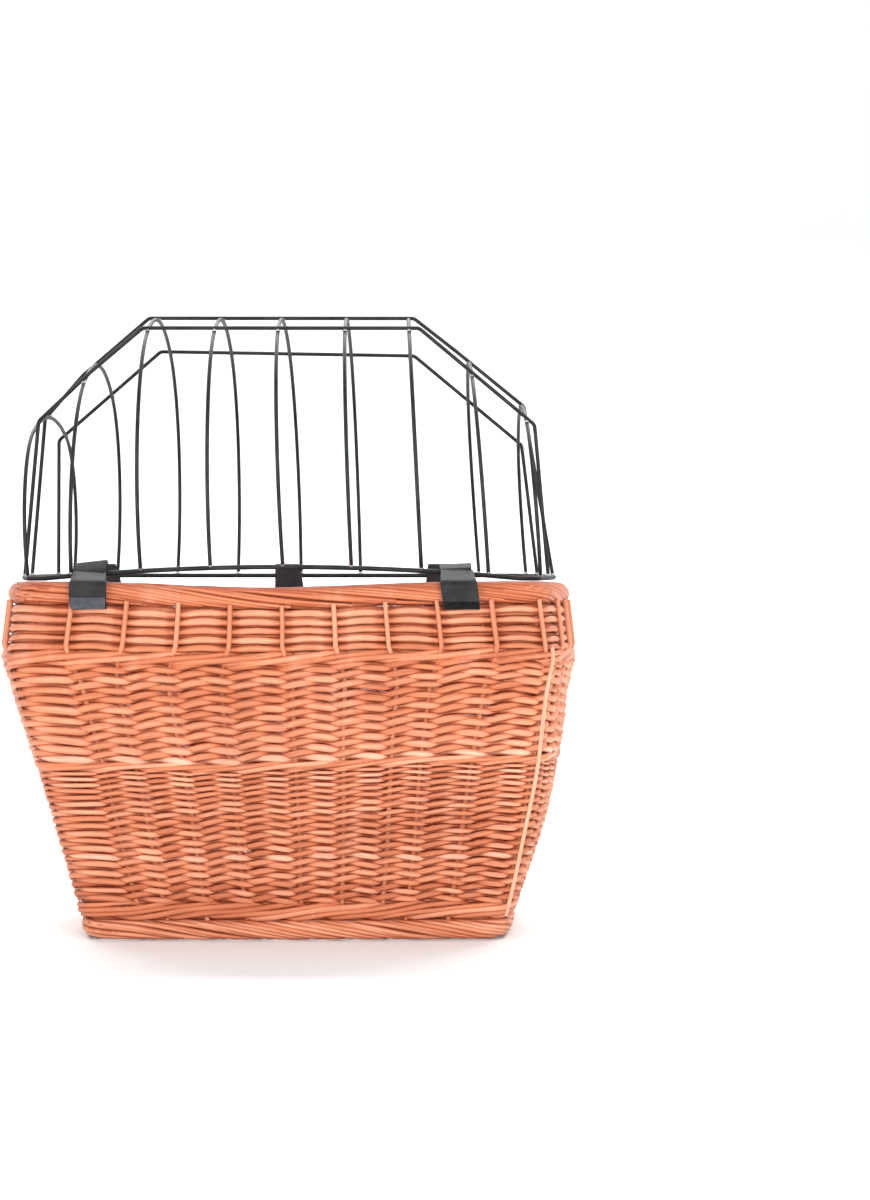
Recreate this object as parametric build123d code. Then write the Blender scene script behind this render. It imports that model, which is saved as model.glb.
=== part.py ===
from build123d import *
from math import asin, atan2, cos, degrees, hypot, sin, sqrt
import os

# Bicycle basket for a dog: a willow body with a hinged guard of welded wire.
# Millimetres. Origin on the floor under the middle of the basket, +Z up,
# +X to the right of someone facing the basket, +Y away from them.

# Bands of the willow body, from the floor up
foot_border_height = 20.0
foot_wale_height = 16.0
lower_weave_height = 116.0
lower_wale_height = 9.0
middle_weave_height = 85.0
upper_wale_height = 12.0
upper_weave_height = 42.0
rim_border_height = 20.0
rim_sag = 5.0
band_gap = 0.1

# Plan of the willow body: outside corner to corner, and how far each side bows out
foot_width = 372.0
foot_depth = 288.0
foot_side_bow = 10.0
foot_front_bow = 5.0
belly_width = 478.0
belly_depth = 374.0
belly_side_bow = 29.0
belly_front_bow = 8.0
rim_width = 462.0
rim_depth = 374.0
rim_side_bow = 29.0
rim_front_bow = 5.0
corner_radius = 28.0
foot_shift = 10.0

# Wall thicknesses, and how far the thicker bands stand out from the weave
weave_thickness = 10.0
course_height = 30.0
course_groove_depth = 3.0
course_groove_width = 8.0
wale_proud = 1.5
wale_thickness = 12.0
foot_proud = 1.0
foot_thickness = 17.0
rim_proud = 1.0
rim_thickness = 20.0
upper_weave_thickness = 6.0

# Rods of the body and of its base
stake_diameter = 5.5
stake_pitch = 47.0
post_diameter = 9.0
base_thickness = 10.0
base_clearance = 4.0
stick_diameter = 7.0
stick_pitch = 40.0
stick_drop = 0.5
rod_gap = 0.3
corner_cut_share = 0.18

# Wire guard
frame_wire = 4.5
grille_wire = 3.0
sides_of_a_rod = 8
guard_side_inset = 9.0
guard_end_inset = 19.0
guard_side_bow = 25.0
guard_corner_radius = 18.0
front_wire_arch = 10.0
rest_gap = 0.3
weld_gap = 0.3
hinge_lift = 6.5
side_rail_span = 212.0
rail_bend_radius = 7.0
end_rib_span = 296.0

# Places of the ribs' feet and crowns, as shares of half the guard's width.
# The guard is bent by hand, and its crown stands a little to the left.
rib_foot_shares = (-0.84, -0.565, -0.288, 0.0, 0.272, 0.55, 0.815)
rib_crown_shares = (-1.034, -0.827, -0.569, -0.297, -0.04, 0.234, 0.495, 0.75, 0.973)

# Bends of the rails from left to right: places as shares of half the guard's
# width, and heights over the hinge. Each rail is bent by hand on its own.
crown_rail_bends = ((-1.057, 146.5), (-0.895, 188.0), (-0.613, 242.0),
                    (0.518, 242.0), (0.7, 210.5), (0.988, 158.5))
front_rail_bends = ((-1.012, 136.5), (-0.8, 181.0), (-0.588, 221.0),
                    (0.54, 221.0), (1.012, 133.5))
rear_rail_bends = ((-1.067, 133.0), (-0.613, 221.0), (0.518, 217.0), (0.998, 128.5))

# Straps
strap_width = 32.0
loop_width = 23.0
strap_thickness = 1.6
strap_gap = 0.3
eye_clearance = 5.3
eye_rise = 4.0
notch_depth = 6.5
notch_clearance = 1.5
patch_thickness = 1.2
patch_drop = 7.5
patch_inset = 2.0
right_flap_skew = 6.0
front_right_strap_share = 0.685
rear_strap_shares = (-0.87, -0.047, 0.635)
rear_loop_gap = 1.5

# Sizes that follow
guard_width = rim_width - 2 * guard_side_inset
guard_depth = rim_depth - 2 * guard_end_inset
foot_border_top = foot_border_height
foot_wale_top = foot_border_top + foot_wale_height
lower_weave_top = foot_wale_top + lower_weave_height
lower_wale_top = lower_weave_top + lower_wale_height
middle_weave_top = lower_wale_top + middle_weave_height
belly_height = middle_weave_top + upper_wale_height / 2
upper_wale_top = middle_weave_top + upper_wale_height
upper_weave_top = upper_wale_top + upper_weave_height
basket_height = upper_weave_top + rim_border_height
guard_rest_height = basket_height + rest_gap + frame_wire / 2
hinge_height = guard_rest_height + hinge_lift
hinge_y = guard_depth / 2
half_guard = guard_width / 2
rim_inset = rim_thickness - rim_proud


# Plan sizes of the willow wall at a height
def between(low, high, share):
    return low + (high - low) * share


def wall_plan(height):
    if height < belly_height:
        share = height / belly_height
        low = (foot_width, foot_depth, foot_side_bow, foot_front_bow, foot_shift)
        high = (belly_width, belly_depth, belly_side_bow, belly_front_bow, 0)
    else:
        share = (height - belly_height) / (basket_height - belly_height)
        low = (belly_width, belly_depth, belly_side_bow, belly_front_bow, 0)
        high = (rim_width, rim_depth, rim_side_bow, rim_front_bow, 0)
    return [between(a, b, share) for a, b in zip(low, high)]


def outline(height, inset):
    """Rounded rectangle with bowed sides: the wall's plan, moved in by inset."""
    width, depth, side_bow, front_bow, shift = wall_plan(height)
    x = width / 2 - inset
    y = depth / 2 - inset
    front = ThreePointArc((-x, -y), (0, -y - front_bow), (x, -y))
    right = ThreePointArc((x, -y), (x + side_bow, 0), (x, y))
    rear = ThreePointArc((x, y), (0, y + front_bow), (-x, y))
    left = ThreePointArc((-x, y), (-x - side_bow, 0), (-x, -y))
    face = make_face([front, right, rear, left])
    face = fillet(face.vertices(), corner_radius - inset)
    return Pos(shift, 0, height) * face


def bow_at(half_chord, bow, place):
    """How far a bowed side stands out of its chord at a place along it."""
    radius = (half_chord ** 2 + bow ** 2) / (2 * bow)
    return bow - radius + sqrt(radius ** 2 - place ** 2)


def wall_reach(height, inset, x):
    """Distance from the X axis to the front or rear of the wall at a place along it."""
    width, depth, side_bow, front_bow, shift = wall_plan(height)
    return depth / 2 - inset + bow_at(width / 2 - inset, front_bow, x)


# Bands of the body
def band(low, high, proud, thickness):
    """One woven band: a closed ring that follows the wall between two heights."""
    outer = loft([outline(low, -proud), outline(high, -proud)], ruled=True)
    inner = loft([outline(low, thickness - proud), outline(high, thickness - proud)], ruled=True)
    return outer - inner


def woven_band(low, high):
    """A band of rods in courses, with a groove between two courses inside and out."""
    courses = max(1, round((high - low) / course_height))
    pitch = (high - low) / courses
    half_groove = course_groove_width / 2
    levels = [(low, 0)]
    for course in range(1, courses):
        seam = low + course * pitch
        levels += [(seam - half_groove, 0), (seam, course_groove_depth), (seam + half_groove, 0)]
    levels.append((high, 0))
    outer = loft([outline(h, deep) for h, deep in levels], ruled=True)
    inner = loft([outline(h, weave_thickness - deep) for h, deep in levels], ruled=True)
    return outer - inner


def upper_wale():
    low = middle_weave_top + band_gap
    mid = belly_height
    high = upper_wale_top - band_gap
    deep = wale_thickness - wale_proud
    outer = loft([outline(h, -wale_proud) for h in (low, mid, high)], ruled=True)
    inner = loft([outline(h, deep) for h in (low, mid, high)], ruled=True)
    return outer - inner


def upper_weave():
    """The open band under the border, notched at its top edge where a strap passes."""
    behind_stakes = stake_diameter + rod_gap
    low = upper_wale_top + band_gap
    high = upper_weave_top - band_gap
    ring = band(low, high, -behind_stakes, upper_weave_thickness)
    for left, right, side in strap_extents():
        x = (left + right) / 2
        y = side * wall_reach(upper_weave_top, 0, x)
        notch = Box(right - left + 2 * notch_clearance, rim_thickness * 2, notch_depth * 2)
        ring -= Pos(x, y, high) * notch
    return ring


def rim_border():
    """The rolled border. Its top edge hangs a little lower in the middle."""
    ring = band(upper_weave_top, basket_height, rim_proud, rim_thickness)
    half = rim_width / 2
    radius = (half ** 2 + rim_sag ** 2) / (2 * rim_sag)
    hollow = Rot(X=90) * Cylinder(radius, rim_depth * 2)
    return ring - Pos(0, 0, basket_height - rim_sag + radius) * hollow


def rim_top(x):
    half = rim_width / 2
    radius = (half ** 2 + rim_sag ** 2) / (2 * rim_sag)
    return basket_height - rim_sag + radius - sqrt(radius ** 2 - x ** 2)


# Rods of the body
def round_section(diameter):
    """Section of a rod or wire: close to round, with few faces because it repeats."""
    return RegularPolygon(diameter / 2, int(sides_of_a_rod))


def rod(start, end, diameter):
    """A straight round rod between two points."""
    start = Vector(*start)
    run = Vector(*end) - start
    section = Plane(start, z_dir=run) * round_section(diameter)
    return extrude(section, amount=run.length, dir=run.normalized())


def slab(low, high):
    """Everything between two heights, to trim slanting rods level."""
    return Pos(0, 0, (low + high) / 2) * Box(belly_width * 2, belly_depth * 2, high - low)


def stake(start, end):
    """A stake's rod, run on past both ends so that it can be trimmed level."""
    start = Vector(*start)
    end = Vector(*end)
    more = (end - start).normalized() * stake_diameter
    return rod(start - more, end + more, stake_diameter)


def stakes():
    """Uprights that show in the open band, one solid each, clear of the straps."""
    inset = stake_diameter / 2
    low = upper_wale_top - band_gap
    high = upper_weave_top + band_gap
    room = slab(upper_wale_top + band_gap, upper_weave_top - band_gap)
    room_beside = stake_diameter / 2 + notch_clearance
    rods = []
    front_half = belly_width / 2 - corner_radius
    count = int(front_half // stake_pitch)
    for step in range(-count, count + 1):
        x = step * stake_pitch
        for side in (-1, 1):
            taken = [row for left, right, row in strap_extents()
                     if left - room_beside < x < right + room_beside]
            if side not in taken:
                y_low = side * wall_reach(low, inset, x)
                y_high = side * wall_reach(high, inset, x)
                rods.append(stake((x, y_low, low), (x, y_high, high)) & room)
    side_half = belly_depth / 2 - corner_radius
    count = int(side_half // stake_pitch)
    for step in range(-count, count + 1):
        y = step * stake_pitch
        for side in (-1, 1):
            ends = []
            for height in (low, high):
                width, depth, side_bow, front_bow, shift = wall_plan(height)
                half = width / 2 - inset
                ends.append(side * (half + bow_at(depth / 2 - inset, side_bow, y)))
            rods.append(stake((ends[0], y, low), (ends[1], y, high)) & room)
    return Compound([r.solid() for r in rods])


def corner_posts():
    """Four thick uprights inside the corners, from the foot to the upper wale."""
    inset = wale_thickness - wale_proud + rod_gap + post_diameter / 2
    low = foot_wale_top
    high = upper_wale_top
    posts = []
    for side_x in (-1, 1):
        for side_y in (-1, 1):
            points = []
            for height in (low, high):
                width, depth, side_bow, front_bow, shift = wall_plan(height)
                in_corner = inset + (corner_radius - inset) * corner_cut_share
                x = shift + side_x * (width / 2 - in_corner)
                y = side_y * (depth / 2 - in_corner)
                points.append((x, y, height))
            posts.append(rod(points[0], points[1], post_diameter).solid())
    return Compound(posts)


# Base
def base_panel():
    """Woven floor, let into the foot border and grooved over its sticks."""
    low = base_clearance
    high = base_clearance + base_thickness
    inset = foot_thickness - foot_proud + rod_gap
    panel = loft([outline(low, inset), outline(high, inset)], ruled=True)
    for y in stick_rows():
        height = stick_height()
        panel -= rod((-foot_width, y, height), (foot_width, y, height), stick_diameter + 2 * rod_gap)
    return panel


def stick_height():
    return stick_drop + stick_diameter / 2


def stick_rows():
    count = int((foot_depth / 2 - foot_thickness) // stick_pitch)
    return [row * stick_pitch for row in range(-count, count + 1)]


def base_sticks():
    """The sticks that the floor is woven on, seen as ridges from below."""
    inset = foot_thickness - foot_proud + rod_gap
    room = loft([outline(0, inset), outline(foot_border_top, inset)], ruled=True)
    height = stick_height()
    sticks = []
    for y in stick_rows():
        long_stick = rod((-foot_width, y, height), (foot_width, y, height), stick_diameter)
        sticks.append((long_stick & room).solid())
    return Compound(sticks)


# Wire guard: its base frame
def side_wire_x(y):
    """Half width of the guard's base frame at a depth."""
    return half_guard + bow_at(guard_depth / 2, guard_side_bow, y)


def frame_z(y):
    """Height of the base frame, which rises from its front corners to the hinge."""
    return between(guard_rest_height, hinge_height, (y + hinge_y) / guard_depth)


def front_wire_z(x):
    """Height of the front wire, which is sprung up in the middle."""
    return guard_rest_height + bow_at(front_wire_half, front_wire_arch, x)


def round_wire(path, diameter):
    section = Plane(path @ 0, z_dir=path % 0) * round_section(diameter)
    return sweep(section, path=path)


def guard_loop():
    """Plan of the base frame: straight front and rear, bowed sides, round corners."""
    x = half_guard
    y = hinge_y
    rear = Line((-x, y), (x, y))
    right = ThreePointArc((x, y), (x + guard_side_bow, 0), (x, -y))
    front = Line((x, -y), (-x, -y))
    left = ThreePointArc((-x, -y), (-x - guard_side_bow, 0), (-x, y))
    loop = make_face([rear, right, front, left])
    return fillet(loop.vertices(), guard_corner_radius)


loop_edges = guard_loop().edges().sort_by(Axis.Y)
front_wire_half = loop_edges[0].length / 2


def guard_frame():
    """Base frame: rear wire and bowed sides in one plane, and an arched front wire."""
    tilt = degrees(asin(hinge_lift / guard_depth))
    place = Pos(0, hinge_y, hinge_height) * Rot(X=tilt) * Pos(0, -hinge_y, 0)
    side_path = place * Wire(loop_edges[1:])
    wires = round_wire(side_path, frame_wire)
    corner = side_path @ 0
    reach = front_wire_half + frame_wire / 4
    middle = (0, corner.Y, corner.Z + front_wire_arch)
    front_path = ThreePointArc((-reach, corner.Y, corner.Z), middle, (reach, corner.Y, corner.Z))
    return wires + round_wire(front_path, frame_wire)


# Wire guard: where the rails run
def crown_x(index):
    return rib_crown_shares[int(index)] * half_guard


def rail_points(bends):
    """Corner points of a rail in its own upright plane, left to right."""
    return [(share * half_guard, hinge_height + rise) for share, rise in bends]


def rail_z(bends, x):
    """Height and slope of a rail at a place along it."""
    points = rail_points(bends)
    for (x0, z0), (x1, z1) in zip(points, points[1:]):
        slope = (z1 - z0) / (x1 - x0)
        height = z0 + slope * (x - x0)
        if x < x1:
            break
    return height, slope


def rail(bends, y):
    """A rail bent from one wire, with its two ends standing on the side wires."""
    points = rail_points(bends)
    stand = frame_wire / 2 + weld_gap
    foot_x = side_wire_x(y)
    foot_z = frame_z(y)
    corners = []
    for side, (x, z) in ((-1, points[0]), (1, points[-1])):
        run = Vector(x - side * foot_x, 0, z - foot_z).normalized()
        foot = Vector(side * foot_x, 0, foot_z) + run * stand
        corners.append((foot.X, y, foot.Z))
    inner = [(x, y, z) for x, z in points]
    path = FilletPolyline(corners[0], *inner, corners[1], radius=rail_bend_radius)
    return round_wire(path, grille_wire)


# Wire guard: its ribs
def leg_arc(top, heading, foot, stand):
    """Leg of a rib: the arc that leaves the crown smoothly and stops short of its wire."""
    run = foot - top
    turn = atan2(heading.X * run.Y - heading.Y * run.X, heading.X * run.X + heading.Y * run.Y)
    radius = run.length / (2 * sin(abs(turn)))
    side = 1 if turn > 0 else -1
    centre = top + Vector(-heading.Y * side, heading.X * side) * radius
    start = atan2(top.Y - centre.Y, top.X - centre.X)
    sweep_angle = 2 * turn - side * stand / radius
    points = []
    for share in (0, 1 / 2, 1):
        angle = start + sweep_angle * share
        points.append((centre.X + radius * cos(angle), centre.Y + radius * sin(angle)))
    return ThreePointArc(*points)


def under_rail(bends, foot_x, lean, crown_height):
    """Height at which a rib passes under a side rail."""
    stack = grille_wire + weld_gap
    height = crown_height
    for attempt in range(3):
        rail_height, slope = rail_z(bends, foot_x + lean * (height - hinge_height))
        fall = 2 * atan2(crown_height - rail_height + stack, side_rail_span / 2)
        height = rail_height - stack * sqrt(slope ** 2 + 1 / cos(fall) ** 2)
    return height


def hoop_centre(left, top, right):
    """Centre of the circle through three points of a rib."""
    squares = [point.X ** 2 + point.Y ** 2 for point in (left, top, right)]
    rises = (top.Y - right.Y, right.Y - left.Y, left.Y - top.Y)
    runs = (right.X - top.X, left.X - right.X, top.X - left.X)
    area = 2 * (left.X * rises[0] + top.X * rises[1] + right.X * rises[2])
    x = sum(square * rise for square, rise in zip(squares, rises)) / area
    y = sum(square * run for square, run in zip(squares, runs)) / area
    return Vector(x, y)


def rib(index):
    """One rib: a hoop from the front wire over the crown to the rear wire."""
    crown = crown_x(index)
    end_rib = index in (0, len(rib_crown_shares) - 1)
    if end_rib:
        reach = end_rib_span / 2
        foot_x = side_wire_x(reach) * (-1 if index == 0 else 1)
        front_z = frame_z(-reach)
        rear_z = frame_z(reach)
    else:
        reach = guard_depth / 2
        foot_x = rib_foot_shares[index - 1] * half_guard
        front_z = front_wire_z(foot_x)
        rear_z = hinge_height
    stand = frame_wire / 2 + weld_gap + (grille_wire / 4 if end_rib else 0)
    stack = grille_wire + weld_gap
    rail_height, slope = rail_z(crown_rail_bends, crown)
    crown_height = rail_height - stack * sqrt(1 + slope ** 2)
    lean = (crown - foot_x) / (crown_height - hinge_height)
    front_height = under_rail(front_rail_bends, foot_x, lean, crown_height)
    rear_height = under_rail(rear_rail_bends, foot_x, lean, crown_height)
    rail_y = side_rail_span / 2
    stretch = sqrt(1 + lean ** 2)
    top = Vector(0, (crown_height - hinge_height) * stretch)
    right = Vector(rail_y, (rear_height - hinge_height) * stretch)
    left = Vector(-rail_y, (front_height - hinge_height) * stretch)
    centre = hoop_centre(left, top, right)
    to_left = (left - centre).normalized()
    to_right = (right - centre).normalized()
    rear_foot = Vector(reach, (rear_z - hinge_height) * stretch)
    front_foot = Vector(-reach, (front_z - hinge_height) * stretch)
    path = [
        leg_arc(left, Vector(-to_left.Y, to_left.X), front_foot, stand),
        ThreePointArc(left, top, right),
        leg_arc(right, Vector(to_right.Y, -to_right.X), rear_foot, stand),
    ]
    up = Vector(lean, 0, 1).normalized()
    across = Vector(0, 1, 0)
    place = Plane((foot_x, 0, hinge_height), x_dir=across, z_dir=across.cross(up))
    return round_wire(place.location * Wire(path), grille_wire)


# Straps
def strap_extents():
    """Left and right edge of each strap along X, with -1 for the front and 1 for the rear."""
    half = strap_width / 2
    extents = [(x - half, x + half, -1) for x in (front_left_strap_x(), front_right_strap_x())]
    for share in rear_strap_shares:
        x = share * half_guard
        loop_left = rear_loop_x(x) - loop_width / 2
        extents.append((min(x - half, loop_left), x + half, 1))
    return extents


def front_left_strap_x():
    """The left flap hangs just inside the second rib's foot."""
    rib_foot = rib_foot_shares[0] * half_guard
    return rib_foot + grille_wire / 2 + strap_gap + strap_width / 2


def front_right_strap_x():
    return front_right_strap_share * half_guard


def ribbon(points, closed):
    """Edge view of a strap that follows points, with rounded folds."""
    pairs = list(zip(points, points[1:]))
    if closed:
        pairs.append((points[-1], points[0]))
    shape = Sketch()
    for (y0, z0), (y1, z1) in pairs:
        length = hypot(y1 - y0, z1 - z0)
        angle = degrees(atan2(z1 - z0, y1 - y0))
        middle = Pos((y0 + y1) / 2, (z0 + z1) / 2)
        shape += middle * Rot(Z=angle) * Rectangle(length, strap_thickness)
        shape += Pos(y0, z0) * Circle(strap_thickness / 2)
    if not closed:
        shape += Pos(*points[-1]) * Circle(strap_thickness / 2)
    return shape


def strap_solid(profile, x, width):
    return Pos(x, 0, 0) * extrude(Plane.YZ * profile, amount=width / 2, both=True)


def eye_radius():
    return frame_wire / 2 + eye_clearance


def rim_reach(height, inset, x):
    """Furthest place of the border's face behind or in front of a strap."""
    edges = (x - strap_width / 2, x, x + strap_width / 2)
    return [wall_reach(height, inset, edge) for edge in edges]


def tab_face(x):
    """Distance from the X axis to the outer face of a tab round the border."""
    faces = rim_reach(basket_height, -rim_proud, x) + rim_reach(upper_weave_top, -rim_proud, x)
    return max(faces) + strap_gap + strap_thickness


def tab(x):
    """Band sewn round the border at the front, through a notch of the weave."""
    outer = tab_face(x) - strap_thickness / 2
    inner_faces = rim_reach(basket_height, rim_inset, x) + rim_reach(upper_weave_top, rim_inset, x)
    inner = min(inner_faces) - strap_gap - strap_thickness / 2
    tops = [rim_top(x - strap_width / 2), rim_top(x + strap_width / 2)]
    top = max(tops) + strap_gap + strap_thickness / 2
    bottom = upper_weave_top - notch_depth + band_gap + strap_thickness
    points = [(-outer, bottom), (-outer, top), (-inner, top), (-inner, bottom)]
    return strap_solid(ribbon(points, True), x, strap_width)


def hook_patch(x):
    """Hook strip sewn on the tab's outer face."""
    top = rim_top(x) - patch_inset
    bottom = upper_weave_top - notch_depth + patch_inset
    y = -tab_face(x) - patch_thickness / 2
    height = top - bottom
    return Pos(x, y, bottom + height / 2) * Box(strap_width - patch_inset, patch_thickness, height)


def front_loop(x):
    """Loop of a front strap, sewn round the front wire."""
    ring = Circle(eye_radius() + strap_thickness) - Circle(eye_radius())
    place = Pos(-hinge_y, front_wire_z(x) + eye_rise)
    return strap_solid(place * ring, x, loop_width)


def flap(x, skew):
    """Flap of a front strap: it turns at the seam below its loop and closes on the patch."""
    seam_y = -hinge_y - eye_radius() - strap_gap - strap_thickness * 3 / 2
    seam_z = front_wire_z(x) + eye_rise / 2
    face = tab_face(x) + patch_thickness + strap_gap + strap_thickness / 2
    knee_z = basket_height + strap_gap + strap_thickness
    bottom = upper_weave_top + patch_drop - strap_thickness
    points = [(seam_y, seam_z), (-face, knee_z), (-face, bottom)]
    body = strap_solid(ribbon(points, False), x, strap_width + 2 * abs(skew))
    top = seam_z + strap_thickness
    low = bottom - strap_thickness
    left = x - strap_width / 2
    right = x + strap_width / 2
    half_loop = loop_width / 2
    shape = Polyline(
        (x - half_loop, top), (x + half_loop, top), (right, knee_z), (right + skew, low),
        (left + skew, low), (left, knee_z), close=True)
    mask = extrude(Plane.XZ * make_face(shape), amount=guard_depth, both=True)
    return body & mask


def rear_loop_x(x):
    """Middle of a rear strap's loop, kept to the left of a rib's foot that it would cover."""
    reach = (loop_width + grille_wire) / 2 + rear_loop_gap
    for share in rib_foot_shares:
        foot = share * half_guard
        if abs(foot - x) < reach:
            return foot - reach
    return x


def rear_strap(x):
    """Rear strap: a closed band round the hinge wire and the border."""
    loop_x = rear_loop_x(x)
    faces = rim_reach(basket_height, -rim_proud, x) + rim_reach(upper_weave_top, -rim_proud, x)
    outer = max(faces) + strap_gap + strap_thickness / 2
    inner_faces = rim_reach(basket_height, rim_inset, x) + rim_reach(upper_weave_top, rim_inset, x)
    clear_of_rim = min(inner_faces) - strap_gap - strap_thickness / 2
    clear_of_wire = hinge_y - frame_wire / 2 - strap_gap - strap_thickness / 2
    inner = min(clear_of_rim, clear_of_wire)
    tops = [rim_top(x - strap_width / 2), rim_top(x + strap_width / 2)]
    shoulder = max(tops) + strap_gap + strap_thickness
    bottom = upper_weave_top - notch_depth + band_gap + strap_thickness
    crown = hinge_height + eye_rise + eye_radius()
    points = [(inner, bottom), (inner, crown - eye_rise), (hinge_y, crown + strap_thickness / 2),
              (hinge_y + eye_radius(), crown - eye_rise), (outer, shoulder), (outer, bottom)]
    body = strap_solid(ribbon(points, True), x, strap_width * 2)
    top = crown + 2 * strap_thickness
    half = strap_width / 2
    loop_half = loop_width / 2
    low = bottom - 2 * strap_thickness
    spread = Polyline((loop_x - loop_half, top), (loop_x + loop_half, top), (x + half, shoulder),
                      (x + half, low), (x - half, low), (x - half, shoulder), close=True)
    inner_mask = extrude(Plane.XZ * make_face(spread), amount=-hinge_y)
    outer_mask = Pos(loop_x, hinge_y + rim_thickness * 2, (top + low) / 2)
    outer_mask = outer_mask * Box(loop_width, rim_thickness * 4, top - low)
    return body & (inner_mask + outer_mask)


# The whole part
def build_parts():
    parts = {
        "foot_border": band(0, foot_border_top - band_gap, foot_proud, foot_thickness),
        "foot_wale": band(foot_border_top + band_gap, foot_wale_top - band_gap, wale_proud, wale_thickness),
        "lower_weave": woven_band(foot_wale_top + band_gap, lower_weave_top - band_gap),
        "lower_wale": band(lower_weave_top + band_gap, lower_wale_top - band_gap, wale_proud, wale_thickness),
        "middle_weave": woven_band(lower_wale_top + band_gap, middle_weave_top - band_gap),
        "upper_wale": upper_wale(),
        "upper_weave": upper_weave(),
        "rim_border": rim_border(),
        "stakes": stakes(),
        "corner_posts": corner_posts(),
        "base_panel": base_panel(),
        "base_sticks": base_sticks(),
        "guard_frame": guard_frame(),
        "crown_rail": rail(crown_rail_bends, 0),
        "front_rail": rail(front_rail_bends, -side_rail_span / 2),
        "rear_rail": rail(rear_rail_bends, side_rail_span / 2),
    }
    for index in range(len(rib_crown_shares)):
        parts[f"guard_rib_{index + 1}"] = rib(index)
    left = front_left_strap_x()
    right = front_right_strap_x()
    parts["front_tab_left"] = tab(left)
    parts["front_tab_right"] = tab(right)
    parts["hook_patch_left"] = hook_patch(left)
    parts["hook_patch_right"] = hook_patch(right)
    parts["front_loop_left"] = front_loop(left)
    parts["front_loop_right"] = front_loop(right)
    parts["front_strap_left"] = flap(left, 0)
    parts["front_strap_right"] = flap(right, right_flap_skew)
    for name, share in zip(("left", "centre", "right"), rear_strap_shares):
        parts[f"rear_strap_{name}"] = rear_strap(share * half_guard)
    return parts


os.makedirs("parts", exist_ok=True)
for node, solid in build_parts().items():
    export_step(solid, f"parts/{node}.step")
    print(node, round(solid.volume))
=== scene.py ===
# %% [markdown]
# # A willow bicycle basket for a dog
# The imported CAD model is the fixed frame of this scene: metres, +Z up, origin on the floor
# under the middle of the basket, and someone who faces the front straps looks along +Y.
# The CAD has each woven band as a plain ring. Here every band gets its real willow rods,
# the guard gets round wire with welds, and the straps get their folds and stitches.

# %% Frame
import math
import random

import bmesh
import bpy
import numpy as np
from mathutils import Matrix, Vector


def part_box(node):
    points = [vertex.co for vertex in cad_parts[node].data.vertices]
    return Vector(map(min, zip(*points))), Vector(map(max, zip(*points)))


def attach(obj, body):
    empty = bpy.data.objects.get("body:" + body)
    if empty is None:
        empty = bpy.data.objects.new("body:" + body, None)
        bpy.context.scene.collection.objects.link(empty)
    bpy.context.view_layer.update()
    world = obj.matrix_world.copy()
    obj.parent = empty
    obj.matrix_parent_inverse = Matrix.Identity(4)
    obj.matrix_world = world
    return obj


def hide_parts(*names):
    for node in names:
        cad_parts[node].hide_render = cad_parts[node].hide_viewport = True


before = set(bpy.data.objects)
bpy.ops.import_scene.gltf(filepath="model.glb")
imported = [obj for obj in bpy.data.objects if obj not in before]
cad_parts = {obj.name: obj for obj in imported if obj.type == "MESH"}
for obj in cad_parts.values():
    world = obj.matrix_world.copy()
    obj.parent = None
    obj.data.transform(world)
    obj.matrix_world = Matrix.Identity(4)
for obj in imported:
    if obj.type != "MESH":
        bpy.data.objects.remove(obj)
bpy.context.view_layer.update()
chance = random.Random(11)
print("CAD nodes:", len(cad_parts))

# %% [markdown]
# ## Camera
# The eye is level with the rim, 2.4 m in front of the basket and a little to its right, so
# the picture has one vanishing point there. A long lens could also be had by standing close
# and shifting, but shift would slide in the other views, so a small turn of the axis is used.

# %% Camera
eye = Vector((0.1208, -2.368, 0.299))
aim_right = math.radians(0.344)
aim_up = math.radians(0.115)
lens_mm = 74.85
camera_data = bpy.data.cameras.new("camera")
camera_data.lens = lens_mm
camera_data.sensor_width = 36.0
camera_data.clip_end = 60.0
camera = bpy.data.objects.new("camera", camera_data)
camera.location = eye
camera.rotation_euler = (math.pi / 2 + aim_up, 0, -aim_right)
bpy.context.scene.collection.objects.link(camera)
bpy.context.scene.camera = camera
print("camera:", lens_mm, "mm lens,", round(-eye.y, 2), "m in front of the basket")

# %% [markdown]
# ## Floor and light
# The studio is a pale sheet that curves up behind the basket. One vertex row is extruded
# along it and the fold is rounded with a bevel, so no edge shows. Big area lights give the
# soft shadow, and a bright world fills the weave.

# %% Helpers for plain objects
def object_of(data, name):
    made = bpy.data.objects.new(name, data)
    bpy.context.scene.collection.objects.link(made)
    return made


def mesh_of(shape, name, smooth=True):
    """Turns a bmesh into a new object at the origin."""
    for face in shape.faces:
        face.smooth = smooth
    mesh = bpy.data.meshes.new(name)
    shape.to_mesh(mesh)
    shape.free()
    return object_of(mesh, name)


# %% Floor
sheet_half, sheet_back, sheet_fold = 7.0, 3.2, 1.6
shape = bmesh.new()
row = [shape.verts.new((-sheet_half, -sheet_half, 0)), shape.verts.new((sheet_half, -sheet_half, 0))]
edge = shape.edges.new(row)
for step in ((0, sheet_half + sheet_back, 0), (0, 0, sheet_half)):
    grown = bmesh.ops.extrude_edge_only(shape, edges=[edge])["geom"]
    edge = next(g for g in grown if isinstance(g, bmesh.types.BMEdge))
    bmesh.ops.translate(shape, verts=edge.verts, vec=step)
fold_line = [e for e in shape.edges
             if all(abs(v.co.y - sheet_back) < 1e-6 and v.co.z < 1e-6 for v in e.verts)]
bmesh.ops.bevel(shape, geom=fold_line, offset=sheet_fold, segments=24, profile=0.5, material=-1,
                affect="EDGES")
floor = mesh_of(shape, "studio_floor")
print("floor faces:", len(floor.data.polygons))

# %% Lights
lamp_target = Vector((0, 0, 0.25))
world_light = 0.66


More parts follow.
